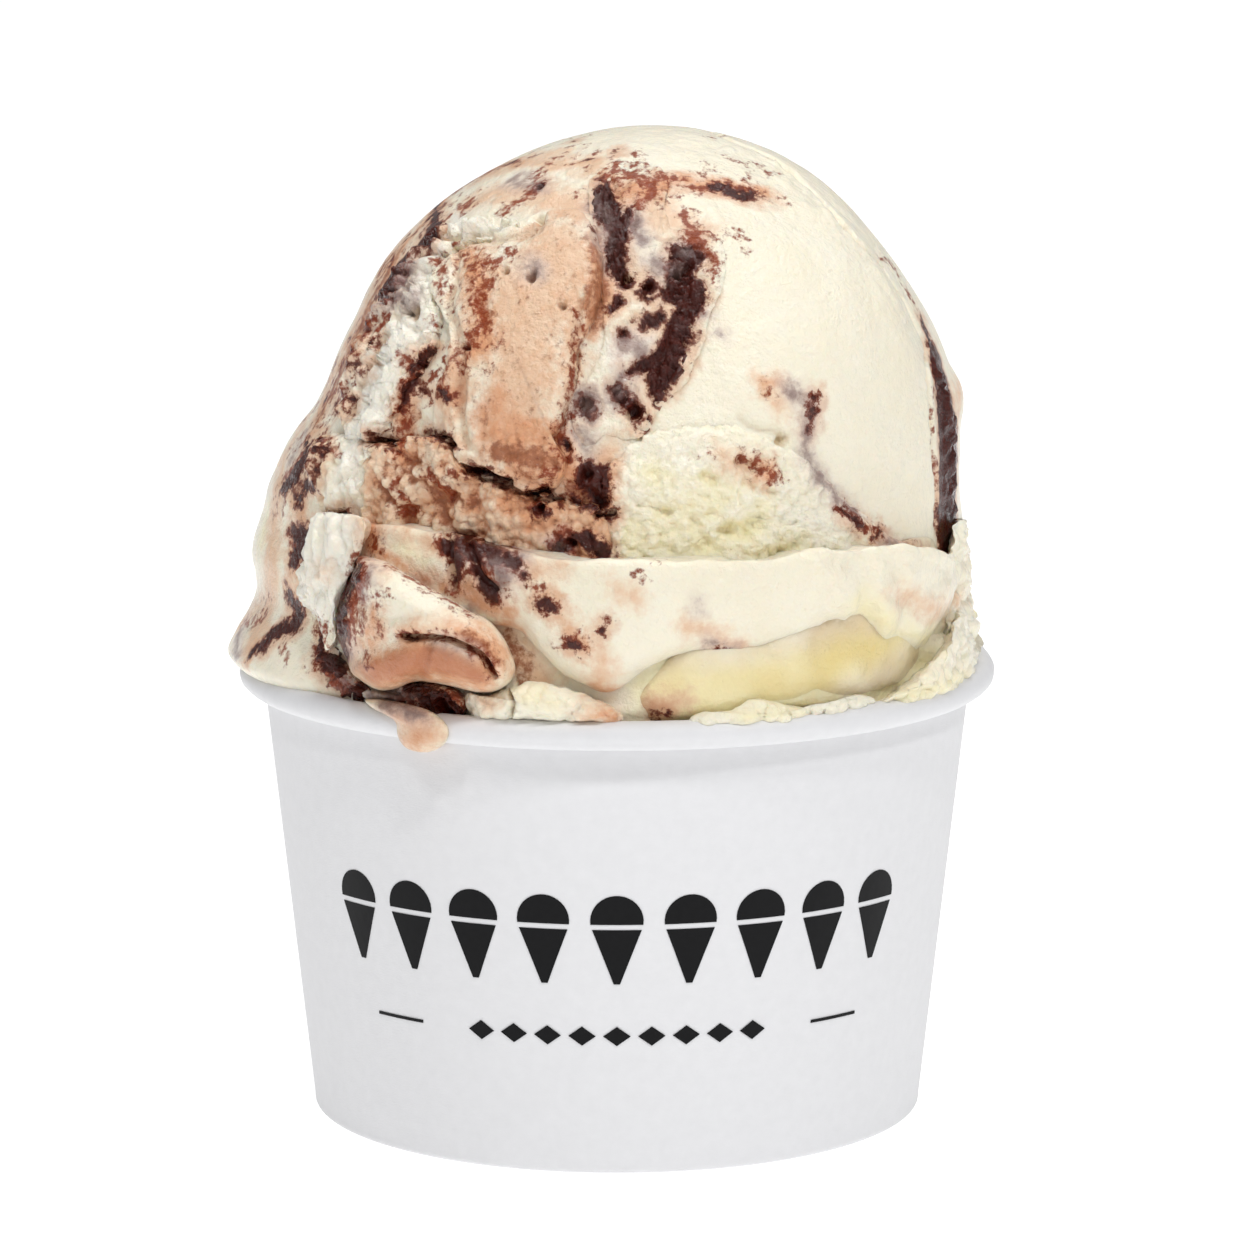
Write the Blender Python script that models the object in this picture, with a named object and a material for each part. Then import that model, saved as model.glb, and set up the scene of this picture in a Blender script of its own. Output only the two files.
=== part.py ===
"""A paper gelato cup heaped with one spatula-worked mound of marbled gelato.

The cup is two pieces of paperboard: a side wall with a rolled rim above and an
inward fold below, and a flanged base disc that the fold holds up off the table.
The gelato fills the cup and stands as a dome above it. Round the foot of the dome
runs a folded apron with a curled tongue at its left, a lobe hangs over the rim at
the left, and a drip runs over the rim at the front.

All sizes are in millimetres and are turned to metres as the meshes are made.
+Z is up, the cup's axis is the Z axis, and the cup stands on z = 0.
Azimuth is in degrees, 0 at the front (-Y) and positive towards +X.
"""

from collections import namedtuple
from math import cos, pi, radians, sin

import bmesh
import bpy
import numpy as np

MM = 0.001

# Driving dimensions of the cup
CUP_HEIGHT = 52.0
RIM_RADIUS = 43.0
FOOT_RADIUS = 34.8
BOARD = 0.5
ROLL_RADIUS = 1.6
FOLD_HEIGHT = 5.0
FOLD_BEND = 0.35
CURL_END = -128
DISC_HEIGHT = 5.6
DISC_BEND = 0.6
FLANGE_FOOT = 1.0
GAP = 0.3
CUP_STEPS = 48

# The side seam, where the two ends of the wall overlap at the back
SEAM_WIDTH = 6.0
SEAM_STEP = 0.35
SEAM_FOOT = 1.2

# Driving dimensions of the mound: the dome is a half ellipsoid on a gently flared stem
MOUND_TOP = 112.3
DOME_RADIUS = 36.0
DOME_RISE = 38.5
STEM_FOOT = 51.0
STEM_INSET = 0.5
LEAN = 2.6
CROWN_LEAN = 1.5
CROWN_FOOT = 99.0
FOLD_THICKNESS = 9.0

# Worked out from them
ROLL_CENTRE = (RIM_RADIUS - ROLL_RADIUS, CUP_HEIGHT - ROLL_RADIUS)
SHEET_TURN = ROLL_RADIUS - BOARD / 2
WALL_TOP = ROLL_CENTRE[0] - SHEET_TURN
WALL_FOOT = FOOT_RADIUS - BOARD / 2
DOME_CENTRE = MOUND_TOP - DOME_RISE


def clear_scene():
    for obj in list(bpy.data.objects):
        bpy.data.objects.remove(obj)


def material(name, colour, roughness):
    made = bpy.data.materials.new(name)
    made.use_nodes = True
    shader = made.node_tree.nodes["Principled BSDF"]
    shader.inputs["Base Color"].default_value = (*colour, 1.0)
    shader.inputs["Roughness"].default_value = roughness
    shader.inputs["Metallic"].default_value = 0.0
    return made


def finished(name, mesh, finish, sharp_angle=40):
    """Links a mesh to the scene as a named object, with its material and smooth shading."""
    obj = bpy.data.objects.new(name, mesh)
    bpy.context.scene.collection.objects.link(obj)
    mesh.materials.clear()
    mesh.materials.append(finish)
    mesh.shade_smooth()
    mesh.set_sharp_from_angle(angle=radians(sharp_angle))
    return obj


def rings_mesh(name, rings, closed_profile):
    """Joins rings of points, all of one length, with faces.

    A closed profile joins the last ring to the first, as on a turned sheet.
    Otherwise a point in the middle of the first and last ring closes each end.
    """
    bm = bmesh.new()
    loops = [[bm.verts.new(np.array(p) * MM) for p in ring] for ring in rings]
    pairs = list(zip(loops, loops[1:]))
    if closed_profile:
        pairs.append((loops[-1], loops[0]))
    for low, high in pairs:
        for i in range(len(low)):
            j = (i + 1) % len(low)
            bm.faces.new((low[i], low[j], high[j], high[i]))
    if not closed_profile:
        for loop, ring in ((loops[0], rings[0]), (loops[-1], rings[-1])):
            pole = bm.verts.new(np.mean(ring, axis=0) * MM)
            for i in range(len(loop)):
                bm.faces.new((loop[i], loop[(i + 1) % len(loop)], pole))
    bmesh.ops.recalc_face_normals(bm, faces=bm.faces)
    if bm.calc_volume(signed=True) < 0:
        bmesh.ops.reverse_faces(bm, faces=bm.faces)
    mesh = bpy.data.meshes.new(name)
    bm.to_mesh(mesh)
    bm.free()
    return mesh


def turned(name, outline, azimuths, radius_at=None):
    """Turns a closed (radius, height) outline about Z. radius_at may shift a radius at an azimuth."""
    rings = []
    for r, z in outline:
        shifted = [r if radius_at is None else radius_at(r, z, a) for a in azimuths]
        rings.append([(s * sin(a), -s * cos(a), z) for s, a in zip(shifted, azimuths)])
    return rings_mesh(name, rings, closed_profile=True)


def arc(centre, radius, start, end, steps):
    """Points of an arc in the (radius, height) plane, angles in degrees."""
    return [
        (centre[0] + radius * cos(radians(a)), centre[1] + radius * sin(radians(a)))
        for a in np.linspace(start, end, steps)
    ]


def sheet_outline(path, thickness):
    """The closed outline of a sheet whose middle line is path, with mitred bends."""
    line = np.array(path, float)
    runs = np.diff(line, axis=0)
    runs /= np.linalg.norm(runs, axis=1)[:, None]
    sides = np.stack([-runs[:, 1], runs[:, 0]], axis=1)
    before = np.concatenate([sides[:1], sides])
    after = np.concatenate([sides, sides[-1:]])
    mitre = (before + after) / (1 + np.sum(before * after, axis=1))[:, None]
    offset = mitre * thickness / 2
    return [tuple(p) for p in np.concatenate([line + offset, (line - offset)[::-1]])]


def wall_path():
    """The middle line of the side wall: fold, foot, slope, and the curl of the rim."""
    fold_radius = WALL_FOOT - 2 * (BOARD + GAP)
    bend_height = BOARD / 2 + FOLD_BEND
    slope_low = bend_height + FOLD_BEND
    fold = [(fold_radius, FOLD_HEIGHT), (fold_radius, slope_low)]
    inner_corner = arc((fold_radius + FOLD_BEND, bend_height), FOLD_BEND, 180, 270, 2)
    outer_corner = arc((WALL_FOOT - FOLD_BEND, bend_height), FOLD_BEND, 270, 360, 2)
    slope = [
        (WALL_FOOT + (WALL_TOP - WALL_FOOT) * share, slope_low + share * (ROLL_CENTRE[1] - slope_low))
        for share in (0.0, 0.95)
    ]
    curl = arc(ROLL_CENTRE, SHEET_TURN, 180, CURL_END, 11)
    return fold + inner_corner + outer_corner + slope + curl


def seam_shift(r, z, azimuth):
    """Lifts the outer face of the wall where its two ends overlap, at the back."""
    off_back = abs((azimuth % (2 * pi)) - pi) * r
    below_roll = ROLL_CENTRE[1] - ROLL_RADIUS - GAP
    on_outer_face = r > inner_wall(z) + BOARD * 0.6
    lifted = SEAM_FOOT < z < below_roll and on_outer_face and off_back < SEAM_WIDTH / 2
    return r + SEAM_STEP if lifted else r


def inner_wall(z):
    """Radius of the wall's inner face at a height."""
    return WALL_FOOT + (WALL_TOP - WALL_FOOT) * z / ROLL_CENTRE[1] - BOARD / 2


def cup_azimuths():
    """Even steps round the cup, with close pairs where the seam's two edges step."""
    steps = np.linspace(0, 2 * pi, CUP_STEPS, endpoint=False)
    middle_radius = (FOOT_RADIUS + RIM_RADIUS) / 2
    edge = SEAM_WIDTH / 2 / middle_radius
    kept = [a for a in steps if not 0.5 * edge < abs(a - pi) < 1.5 * edge]
    for side in (-1, 1):
        kept += [pi + side * edge * 0.9, pi + side * edge * 1.1]
    return sorted(kept)


def make_cup_wall(finish):
    outline = sheet_outline(wall_path(), BOARD)
    mesh = turned("cup_wall", outline, cup_azimuths(), seam_shift)
    return finished("cup_wall", mesh, finish)


def make_cup_base(finish):
    """The base disc, with its flange turned down between the wall and the fold."""
    flange = WALL_FOOT - BOARD - GAP
    path = [(flange, FLANGE_FOOT)]
    path += arc((flange - DISC_BEND, DISC_HEIGHT - DISC_BEND - BOARD / 2), DISC_BEND, 0, 90, 3)
    path += [(0.6, DISC_HEIGHT - BOARD / 2)]
    line = sheet_outline(path, BOARD)
    azimuths = np.linspace(0, 2 * pi, CUP_STEPS, endpoint=False)
    rings = [[(r * sin(a), -r * cos(a), z) for a in azimuths] for r, z in line]
    middle = len(line) // 2
    rings = rings[middle:] + rings[:middle]
    mesh = rings_mesh("cup_base", rings, closed_profile=False)
    return finished("cup_base", mesh, finish)


# The plain mound

def eased(x, low, high):
    """0 below low, 1 above high, and a smooth rise between."""
    t = np.clip((np.asarray(x, float) - low) / (high - low), 0, 1)
    return t * t * (3 - 2 * t)


def smooth_between(x, stops):
    """A smooth curve through (x, value) stops, level at each end."""
    xs, ys = np.array(stops, float).T
    slope = np.gradient(ys, xs)
    slope[0] = slope[-1] = 0
    i = np.clip(np.searchsorted(xs, x) - 1, 0, len(xs) - 2)
    span = xs[i + 1] - xs[i]
    t = np.clip((x - xs[i]) / span, 0, 1)
    t2, t3 = t * t, t * t * t
    return (
        (2 * t3 - 3 * t2 + 1) * ys[i]
        + (t3 - 2 * t2 + t) * span * slope[i]
        + (3 * t2 - 2 * t3) * ys[i + 1]
        + (t3 - t2) * span * slope[i + 1]
    )


def stem_radius(z):
    """Radius of the plain mound between the rim and the dome's widest level."""
    low_radius = inner_wall(STEM_FOOT) - GAP - STEM_INSET
    share = (z - STEM_FOOT) / (DOME_CENTRE - STEM_FOOT)
    return low_radius + (DOME_RADIUS - low_radius) * max(0.0, share)


def mound_levels():
    """Rows of the plain mound from base to top: radius, height, and the outward normal's two shares."""
    base = DISC_HEIGHT + GAP
    corner = 0.6
    rows = [(inner_wall(base) - GAP - corner, base, 0.6, -0.8)]
    for z in (base + corner, STEM_FOOT - 1.6):
        rows.append((inner_wall(z) - GAP, z, 1.0, 0.0))
    over_rim = np.linspace(STEM_FOOT - 0.7, STEM_FOOT + 4.5, 5)
    up_stem = np.linspace(STEM_FOOT + 6.6, DOME_CENTRE, 10)
    for z in np.concatenate([over_rim, up_stem]):
        rows.append((stem_radius(z), z, 1.0, 0.0))
    for angle in np.linspace(0, 90, 21)[1:-1]:
        c, s = cos(radians(angle)), sin(radians(angle))
        rows.append((DOME_RADIUS * c, DOME_CENTRE + DOME_RISE * s, c, s))
    return rows


def axis_shift(z):
    """How far the mound's own middle stands towards +X at a height."""
    return LEAN * eased(z, CUP_HEIGHT, DOME_CENTRE) + CROWN_LEAN * eased(z, CROWN_FOOT, MOUND_TOP)


def mound_azimuths():
    """Steps round the mound in degrees, closer together over the worked front."""
    front = np.linspace(-100, 100, 61)
    back = np.linspace(100, 260, 25)[1:-1]
    return np.concatenate([front, back])


def bump(x, centre, width):
    """A smooth hill of height 1, width millimetres or degrees to each side."""
    t = np.clip(1 - ((np.asarray(x, float) - centre) / width) ** 2, 0, None)
    return t * t


def turn_off(azimuth, centre):
    """Degrees from centre to azimuth, from -180 to 180."""
    return (np.asarray(azimuth, float) - centre + 180) % 360 - 180


def plain_point(azimuth, z):
    """A point of the plain mound above the rim."""
    r = stem_radius(z)
    if z > DOME_CENTRE:
        r = DOME_RADIUS * max(0.0, 1 - ((z - DOME_CENTRE) / DOME_RISE) ** 2) ** 0.5
    a = radians(azimuth)
    return np.array([axis_shift(z) + r * sin(a), -r * cos(a), z])


def distance_to_line(points, stops):
    """Distance from each point to a line of straight runs through (azimuth, height) stops."""
    line = [plain_point(a, z) for a, z in stops]
    best = np.full(len(points), 1e9)
    for start, end in zip(line, line[1:]):
        run = end - start
        share = np.clip((points - start) @ run / (run @ run), 0, 1)
        nearest = start + share[:, None] * run
        best = np.minimum(best, np.linalg.norm(points - nearest, axis=1))
    return best


# Torn cracks: stops as (azimuth, height), half width, depth
CRACKS = (
    (((-62, 100.5), (-42, 101.5), (-29, 103.0), (-19, 103.6)), 1.6, 1.3),
    (((-58, 79.2), (-47, 79.4), (-41, 81.6), (-34, 80.6)), 1.7, 1.6),
    (((-33, 77.8), (-23, 76.6), (-19, 75.6), (-11, 74.4), (-6, 73.4)), 1.8, 1.8),
    (((118, 84.0), (134, 81.0), (150, 82.5), (166, 79.5)), 1.8, 1.6),
    (((196, 95.0), (214, 92.5), (232, 94.5)), 1.6, 1.3),
)


def cracks(points):
    """The depth of the cracks at each point, as a negative reach."""
    total = np.zeros(len(points))
    for stops, half_width, depth in CRACKS:
        away = distance_to_line(points, stops)
        total = np.minimum(total, -depth * np.clip(1 - (away / half_width) ** 2, 0, 1))
    return total


# A sheet that the spatula laid over the mound: its middle, half width and the width of its soft edge
# in degrees, its lower and upper heights each with its soft edge, and how far it stands out
Sheet = namedtuple("Sheet", "azimuth half_width edge low low_edge high high_edge reach")
FRONT_PANEL = Sheet(-24, 13.2, 2.5, 77.5, 3, 103.2, 1.5, 0.9)
TORN_BAND = Sheet(-54, 8, 12, 73, 6, 95.5, 5, 0.9)
SMOOTH_CAP = Sheet(40.5, 26.5, 6, 74, 13, 104, 8, 1.1)
BACK_SHEET = Sheet(172, 43, 6, 68, 4, 88.5, 5, 1.2)
SHEETS = (FRONT_PANEL, TORN_BAND, SMOOTH_CAP, BACK_SHEET)

# A rounded swell or hollow: azimuth and half width in degrees, height and half height, and its reach
Swell = namedtuple("Swell", "azimuth half_width z half_height reach")
UNDERCUT = Swell(-4, 46, 71, 6, -1.3)
SHOULDER = Swell(92, 14, 81.5, 4, 0.8)
SIDE_CRUMBS = Swell(94, 24, 63, 9, 1.3)
SWELLS = (UNDERCUT, SHOULDER, SIDE_CRUMBS)


def sheet_reach(azimuth, z, sheet):
    """How far a laid sheet stands out at each azimuth and height."""
    inside = sheet.half_width - abs(turn_off(azimuth, sheet.azimuth))
    across = eased(inside, -sheet.edge / 2, sheet.edge / 2)
    above = eased(z - sheet.low, -sheet.low_edge / 2, sheet.low_edge / 2)
    below = eased(sheet.high - z, -sheet.high_edge / 2, sheet.high_edge / 2)
    return sheet.reach * across * above * below


def swell_reach(azimuth, z, swell):
    """How far a rounded swell stands out at each azimuth and height."""
    across = bump(turn_off(azimuth, swell.azimuth), 0, swell.half_width)
    return swell.reach * across * bump(z, swell.z, swell.half_height)


def waves(azimuth, z):
    """Slow waves over the stem and the flank of the dome, none at its crown."""
    a = np.radians(azimuth)
    height = 0.35 * np.sin(3 * a + z * 0.11) + 0.3 * np.sin(5 * a - z * 0.17 + 1.3)
    return height * eased(z, 54, 64) * eased(-z, -104, -88)


def broad_shape(azimuth, z):
    """Everything slow in the mound's relief: waves, laid sheets and swells."""
    sheets = sum(sheet_reach(azimuth, z, sheet) for sheet in SHEETS)
    swells = sum(swell_reach(azimuth, z, swell) for swell in SWELLS)
    return waves(azimuth, z) + sheets + swells


# The soft flow at the left: its middle and half width in degrees, and its reach as (height, reach) stops
LOBE_AZIMUTH = -84
LOBE_HALF_WIDTH = 46
LOBE_REACH = (
    (50.3, 0.0), (51.2, 3.4), (52.4, 5.2), (54.5, 5.1), (57.0, 4.0), (59.5, 3.5), (61.5, 4.0),
    (64.0, 5.1), (69.0, 5.5), (72.0, 5.7), (75.5, 4.6), (78.0, 3.3), (80.0, 2.1), (82.5, 1.3),
    (86.0, 0.8), (92.0, 0.0),
)


def left_lobe(azimuth, z):
    """The soft flow at the left that widens downwards and hangs over the rim."""
    across = bump(turn_off(azimuth, LOBE_AZIMUTH), 0, LOBE_HALF_WIDTH) ** 0.6
    low, high = LOBE_REACH[0][0], LOBE_REACH[-1][0]
    return across * smooth_between(z, LOBE_REACH) * (z > low) * (z < high)


def foot_lumps(azimuth, z):
    """Loose and squeezed-out gelato round the foot of the dome, above the rim."""
    low = eased(z, 51.5, 53) * eased(-z, -60, -56)
    crumbs = np.sin(np.radians(azimuth) * 19 + z)
    front = 1.9 * bump(turn_off(azimuth, 24), 0, 30)
    right = (2.5 + 0.9 * crumbs) * bump(turn_off(azimuth, 74), 0, 26)
    back = 1.6 + 0.7 * np.sin(np.radians(azimuth) * 13 + z * 0.8)
    back = back * eased(abs(turn_off(azimuth, 0)), 84, 100)
    beside_lobe = 1 - bump(turn_off(azimuth, LOBE_AZIMUTH), 0, LOBE_HALF_WIDTH)
    return low * (front + right + back * beside_lobe)


def make_mound():
    azimuths = mound_azimuths()
    a = np.radians(azimuths)
    rings = []
    for r, z, out, up in mound_levels():
        plain = np.stack([axis_shift(z) + r * np.sin(a), -r * np.cos(a), np.full_like(a, z)], 1)
        heights = np.full_like(a, z)
        relief = np.zeros_like(a)
        if z > STEM_FOOT - 1:
            relief = broad_shape(azimuths, heights) * eased(z, 52, 56) + cracks(plain)
            relief = relief + left_lobe(azimuths, heights) + foot_lumps(azimuths, heights)
        normal = np.stack([out * np.sin(a), -out * np.cos(a), np.full_like(a, up)], axis=1)
        rings.append(plain + relief[:, None] * normal)
    return rings_mesh("gelato", rings, closed_profile=False)


def folded_band(name, azimuths, top, bottom, face):
    """A fold of gelato that wraps the dome: top, bottom and outer face by azimuth, as stops."""
    rings = []
    for azimuth in azimuths:
        high, low = smooth_between(azimuth, top), smooth_between(azimuth, bottom)
        outer = smooth_between(azimuth, face)
        middle, half = (high + low) / 2, (high - low) / 2
        a = radians(azimuth)
        ring = []
        for angle in np.linspace(0, 360, 12, endpoint=False):
            c, s = cos(radians(angle)), sin(radians(angle))
            rise = np.sign(s) * abs(s) ** 0.75
            depth = np.sign(c) * abs(c) ** 0.6
            r = outer + FOLD_THICKNESS / 2 * (depth - 1) + 0.5 * rise
            z = middle + half * rise
            ring.append((axis_shift(z) + r * sin(a), -r * cos(a), z))
        rings.append(ring)
    return rings_mesh(name, rings, closed_profile=False)


# The apron at the front and the fold at the back: height of the top and of the bottom edge,
# and radius of the outer face, each as (azimuth, value) stops
APRON_TOP = (
    (-66, 66.5), (-60, 70.6), (-48, 71.4), (-32, 71.0), (-18, 69.5), (2, 69.1), (20, 68.9),
    (34, 69.2), (46, 68.6), (62, 66.0), (78, 61.5),
)
APRON_BOTTOM = (
    (-66, 62.0), (-58, 57.0), (-40, 58.0), (-26, 60.5), (-18, 60.8), (-8, 56.4), (-1, 54.9),
    (4, 57.0), (10, 58.6), (17, 57.4), (24, 58.8), (33, 61.0), (46, 60.0), (58, 55.5),
    (70, 56.5), (78, 60.0),
)
APRON_FACE = (
    (-66, 38.6), (-52, 41.4), (-30, 41.0), (-8, 42.0), (0, 42.4), (12, 41.6), (30, 41.2),
    (50, 41.2), (66, 40.2), (78, 37.6),
)
BACK_TOP = ((96, 61.5), (116, 66.0), (150, 68.5), (180, 67.0), (210, 69.0), (236, 65.5), (254, 60.0))
BACK_BOTTOM = ((96, 59.5), (116, 56.0), (150, 57.5), (180, 54.5), (210, 57.0), (236, 55.5), (254, 58.5))
BACK_FACE = ((96, 37.2), (120, 40.6), (150, 41.6), (180, 43.8), (210, 41.2), (236, 40.4), (254, 37.2))


# The way that the rolls at the front left face
ROLL_AZIMUTH = -20.4


def soft_roll(name, stops, points_round=10):
    """A soft tapering roll along stops that give its centre, half depth and half height."""
    stops = np.array(stops, float)
    shares = np.arange(len(stops))
    outward = np.array([sin(radians(ROLL_AZIMUTH)), -cos(radians(ROLL_AZIMUTH)), 0])
    upward = np.array([0, 0, 1])
    rings = []
    for share in np.linspace(0, len(stops) - 1, 3 * (len(stops) - 1) + 1):
        columns = [list(zip(shares, column)) for column in stops.T]
        x, y, z, deep, high = [smooth_between(share, column) for column in columns]
        ring = []
        for angle in np.linspace(0, 2 * pi, points_round, endpoint=False):
            ring.append(np.array([x, y, z]) + deep * sin(angle) * outward + high * cos(angle) * upward)
        rings.append(ring)
    return rings_mesh(name, rings, closed_profile=False)


# Soft rolls at the front left, each as stops of x, y, z, half depth and half height:
# the hood and the fat lower lip of the curled tongue, the drip over the rim, and the smear behind it
HOOD = (
    (-29.5, -29.5, 68.6, 0.8, 0.6), (-26.5, -33.0, 65.6, 4.6, 3.4), (-21.0, -37.0, 62.6, 5.6, 4.6),
    (-15.0, -39.4, 60.4, 5.0, 4.0), (-11.4, -40.4, 58.8, 2.6, 2.2), (-10.6, -40.6, 58.5, 0.7, 0.6),
)
LIP = (
    (-31.0, -29.2, 61.5, 0.8, 0.8), (-29.2, -32.2, 60.0, 4.2, 3.8), (-24.8, -37.0, 58.2, 4.7, 3.6),
    (-19.6, -39.9, 58.6, 4.0, 2.6), (-14.2, -41.2, 57.8, 3.4, 2.6), (-11.6, -41.2, 58.2, 0.8, 0.8),
)
DRIP = (
    (-25.6, -35.6, 51.6, 0.6, 0.8), (-24.0, -36.6, 51.2, 1.8, 2.4), (-22.4, -38.0, 50.9, 2.3, 2.8),
    (-20.6, -39.0, 51.4, 1.8, 2.4), (-18.6, -39.6, 52.4, 0.6, 0.8),
)
SMEAR = (
    (-30.0, -25.5, 53.8, 1.6, 1.2), (-26.5, -30.0, 54.0, 4.4, 2.8), (-21.5, -33.6, 54.0, 5.6, 3.0),
    (-15.0, -36.0, 53.8, 4.2, 2.4), (-10.5, -37.2, 53.4, 1.8, 1.4),
)


def cup_clearance():
    """The space of the rim and wall, grown by the gap, that the gelato stays out of."""
    r, z = ROLL_CENTRE
    reach = ROLL_RADIUS + GAP
    low = z - 4 * ROLL_RADIUS
    outline = arc(ROLL_CENTRE, reach, -60, 230, 18)
    outline += [(inner_wall(z - ROLL_RADIUS) - GAP, z - reach), (inner_wall(low) - GAP, low)]
    outline += [(r + 1.0, low)]
    azimuths = np.linspace(0, 2 * pi, CUP_STEPS, endpoint=False)
    outside_of_facets = 1 / cos(pi / CUP_STEPS)
    grown = [(radius * outside_of_facets, height) for radius, height in outline]
    return turned("cup_clearance", grown, azimuths)


def joined(base, others):
    """One Boolean union of base with a collection of other pieces, applied."""
    group = bpy.data.collections.new("folds")
    bpy.context.scene.collection.children.link(group)
    for mesh in others:
        group.objects.link(bpy.data.objects.new(mesh.name, mesh))
    union = base.modifiers.new("join", "BOOLEAN")
    union.operation = "UNION"
    union.operand_type = "COLLECTION"
    union.collection = group
    union.solver = "EXACT"
    apply_modifiers(base)
    for obj in list(group.objects):
        bpy.data.objects.remove(obj)
    bpy.data.collections.remove(group)


def cut(base, cutter_mesh):
    """Cuts a mesh out of base and applies the cut."""
    cutter = bpy.data.objects.new(cutter_mesh.name, cutter_mesh)
    bpy.context.scene.collection.objects.link(cutter)
    difference = base.modifiers.new("clear_of_cup", "BOOLEAN")
    difference.operation = "DIFFERENCE"
    difference.object = cutter
    difference.solver = "EXACT"
    apply_modifiers(base)
    bpy.data.objects.remove(cutter)


def apply_modifiers(obj):
    bpy.context.view_layer.update()
    graph = bpy.context.evaluated_depsgraph_get()
    mesh = bpy.data.meshes.new_from_object(obj.evaluated_get(graph))
    obj.modifiers.clear()
    obj.data = mesh


def drop_loose_scraps(obj):
    """Keeps only the largest connected piece, as a cut can leave a crumb behind the rim."""
    bm = bmesh.new()
    bm.from_mesh(obj.data)
    unseen = set(bm.verts)
    pieces = []
    while unseen:
        stack = [unseen.pop()]
        piece = set(stack)
        while stack:
            for edge in stack.pop().link_edges:
                for vert in edge.verts:
                    if vert in unseen:
                        unseen.discard(vert)
                        piece.add(vert)
                        stack.append(vert)
        pieces.append(piece)
    pieces.sort(key=len)
    for piece in pieces[:-1]:
        bmesh.ops.delete(bm, geom=list(piece), context="VERTS")
    bmesh.ops.dissolve_degenerate(bm, dist=0.02 * MM, edges=bm.edges)
    bmesh.ops.triangulate(bm, faces=bm.faces)
    bm.to_mesh(obj.data)
    bm.free()


def make_gelato(finish):
    gelato = finished("gelato", make_mound(), finish)
    apron = folded_band("apron", np.linspace(-66, 78, 41), APRON_TOP, APRON_BOTTOM, APRON_FACE)
    back = folded_band("back_fold", np.linspace(96, 254, 24), BACK_TOP, BACK_BOTTOM, BACK_FACE)
    others = [apron, back]
    for name, stops in (("hood", HOOD), ("lip", LIP), ("drip", DRIP), ("smear", SMEAR)):
        others.append(soft_roll(name, stops))
    joined(gelato, others)
    cut(gelato, cup_clearance())
    drop_loose_scraps(gelato)
    gelato.data.materials.clear()
    gelato.data.materials.append(finish)
    gelato.data.shade_smooth()
    return gelato


def main():
    clear_scene()
    paper = material("white_paperboard", (0.86, 0.86, 0.87), 0.6)
    cream = material("marbled_gelato", (0.83, 0.74, 0.56), 0.4)
    make_cup_wall(paper)
    make_cup_base(paper)
    make_gelato(cream)


main()
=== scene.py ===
# %% [markdown]
# # A heaped cup of marbled gelato
# A gelato maker fills a low paper cup and works one big mound over it with a flat
# spatula. Fior di latte is smoothed into a dome, chocolate ripple is torn through it,
# and the last stroke leaves a folded skirt with a curled tongue round the foot.
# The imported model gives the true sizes, so the lesson starts by loading it.

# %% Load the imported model
from math import cos, pi, radians, sin

import bmesh
import bpy
import numpy as np
from mathutils import Matrix


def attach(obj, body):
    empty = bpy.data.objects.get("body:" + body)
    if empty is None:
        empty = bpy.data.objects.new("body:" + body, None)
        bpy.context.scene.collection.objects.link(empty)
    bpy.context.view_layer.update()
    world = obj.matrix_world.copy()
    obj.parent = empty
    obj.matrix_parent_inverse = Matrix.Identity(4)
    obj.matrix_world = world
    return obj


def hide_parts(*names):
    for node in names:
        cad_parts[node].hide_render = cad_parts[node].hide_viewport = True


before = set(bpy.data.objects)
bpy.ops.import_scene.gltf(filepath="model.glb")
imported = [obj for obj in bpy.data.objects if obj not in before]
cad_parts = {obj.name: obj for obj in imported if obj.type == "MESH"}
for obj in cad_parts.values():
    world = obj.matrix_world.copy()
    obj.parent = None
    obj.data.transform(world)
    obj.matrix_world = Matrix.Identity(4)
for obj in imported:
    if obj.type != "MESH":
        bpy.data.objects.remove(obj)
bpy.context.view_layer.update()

MM = 0.001

# %% [markdown]
# ## The eye
# Every detail is placed by where it is seen, so the camera comes first. Its numbers were
# fitted to the outline of the cup: a long lens, 685 mm away, looking down 10 degrees.
# `seen_at` turns a point in millimetres to a place in the picture. `at_depth` goes the
# other way, for a point whose distance in front of the cup's axis is known.

# %% The camera's numbers and the two ways through it
PICTURE = 1254
FOCAL = 6003.6
OPTICAL_CENTRE = (616.9, 627.0)
ELEVATION = radians(10.118)
DISTANCE = 684.5
AIM_HEIGHT = 54.9

TO_EYE = np.array([0, -cos(ELEVATION), sin(ELEVATION)])
EYE_UP = np.array([0, sin(ELEVATION), cos(ELEVATION)])
EYE = np.array([0, 0, AIM_HEIGHT]) + TO_EYE * DISTANCE


def seen_at(points):
    """Picture place of points: the sideways and upward parts over the depth, times the focal length."""
    away = points - EYE
    depth = -(away @ TO_EYE)
    across = OPTICAL_CENTRE[0] + FOCAL * away[..., 0] / depth
    down = OPTICAL_CENTRE[1] - FOCAL * (away @ EYE_UP) / depth
    return np.stack([across, down], axis=-1)


def at_depth(across, down, y):
    """Point on the ray through a picture place where the ray crosses the plane of that y."""
    ray_x = (across - OPTICAL_CENTRE[0]) / FOCAL
    ray_up = (OPTICAL_CENTRE[1] - down) / FOCAL
    ray = np.stack([
        ray_x,
        ray_up * EYE_UP[1] - TO_EYE[1] + 0 * ray_x,
        ray_up * EYE_UP[2] - TO_EYE[2] + 0 * ray_x,
    ], axis=-1)
    run = (y - EYE[1]) / ray[..., 1]
    return EYE + ray * run[..., None]


print("eye at", EYE.round(1), "the rim's front is seen at", seen_at(np.array([0, -43.0, 50.4])).round(0))

# %% [markdown]
# ## Soft steps and soft lines
# Spatula work has no hard edges, so heights and widths ease from value to value. These
# four helpers are used by every piece below.

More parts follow.
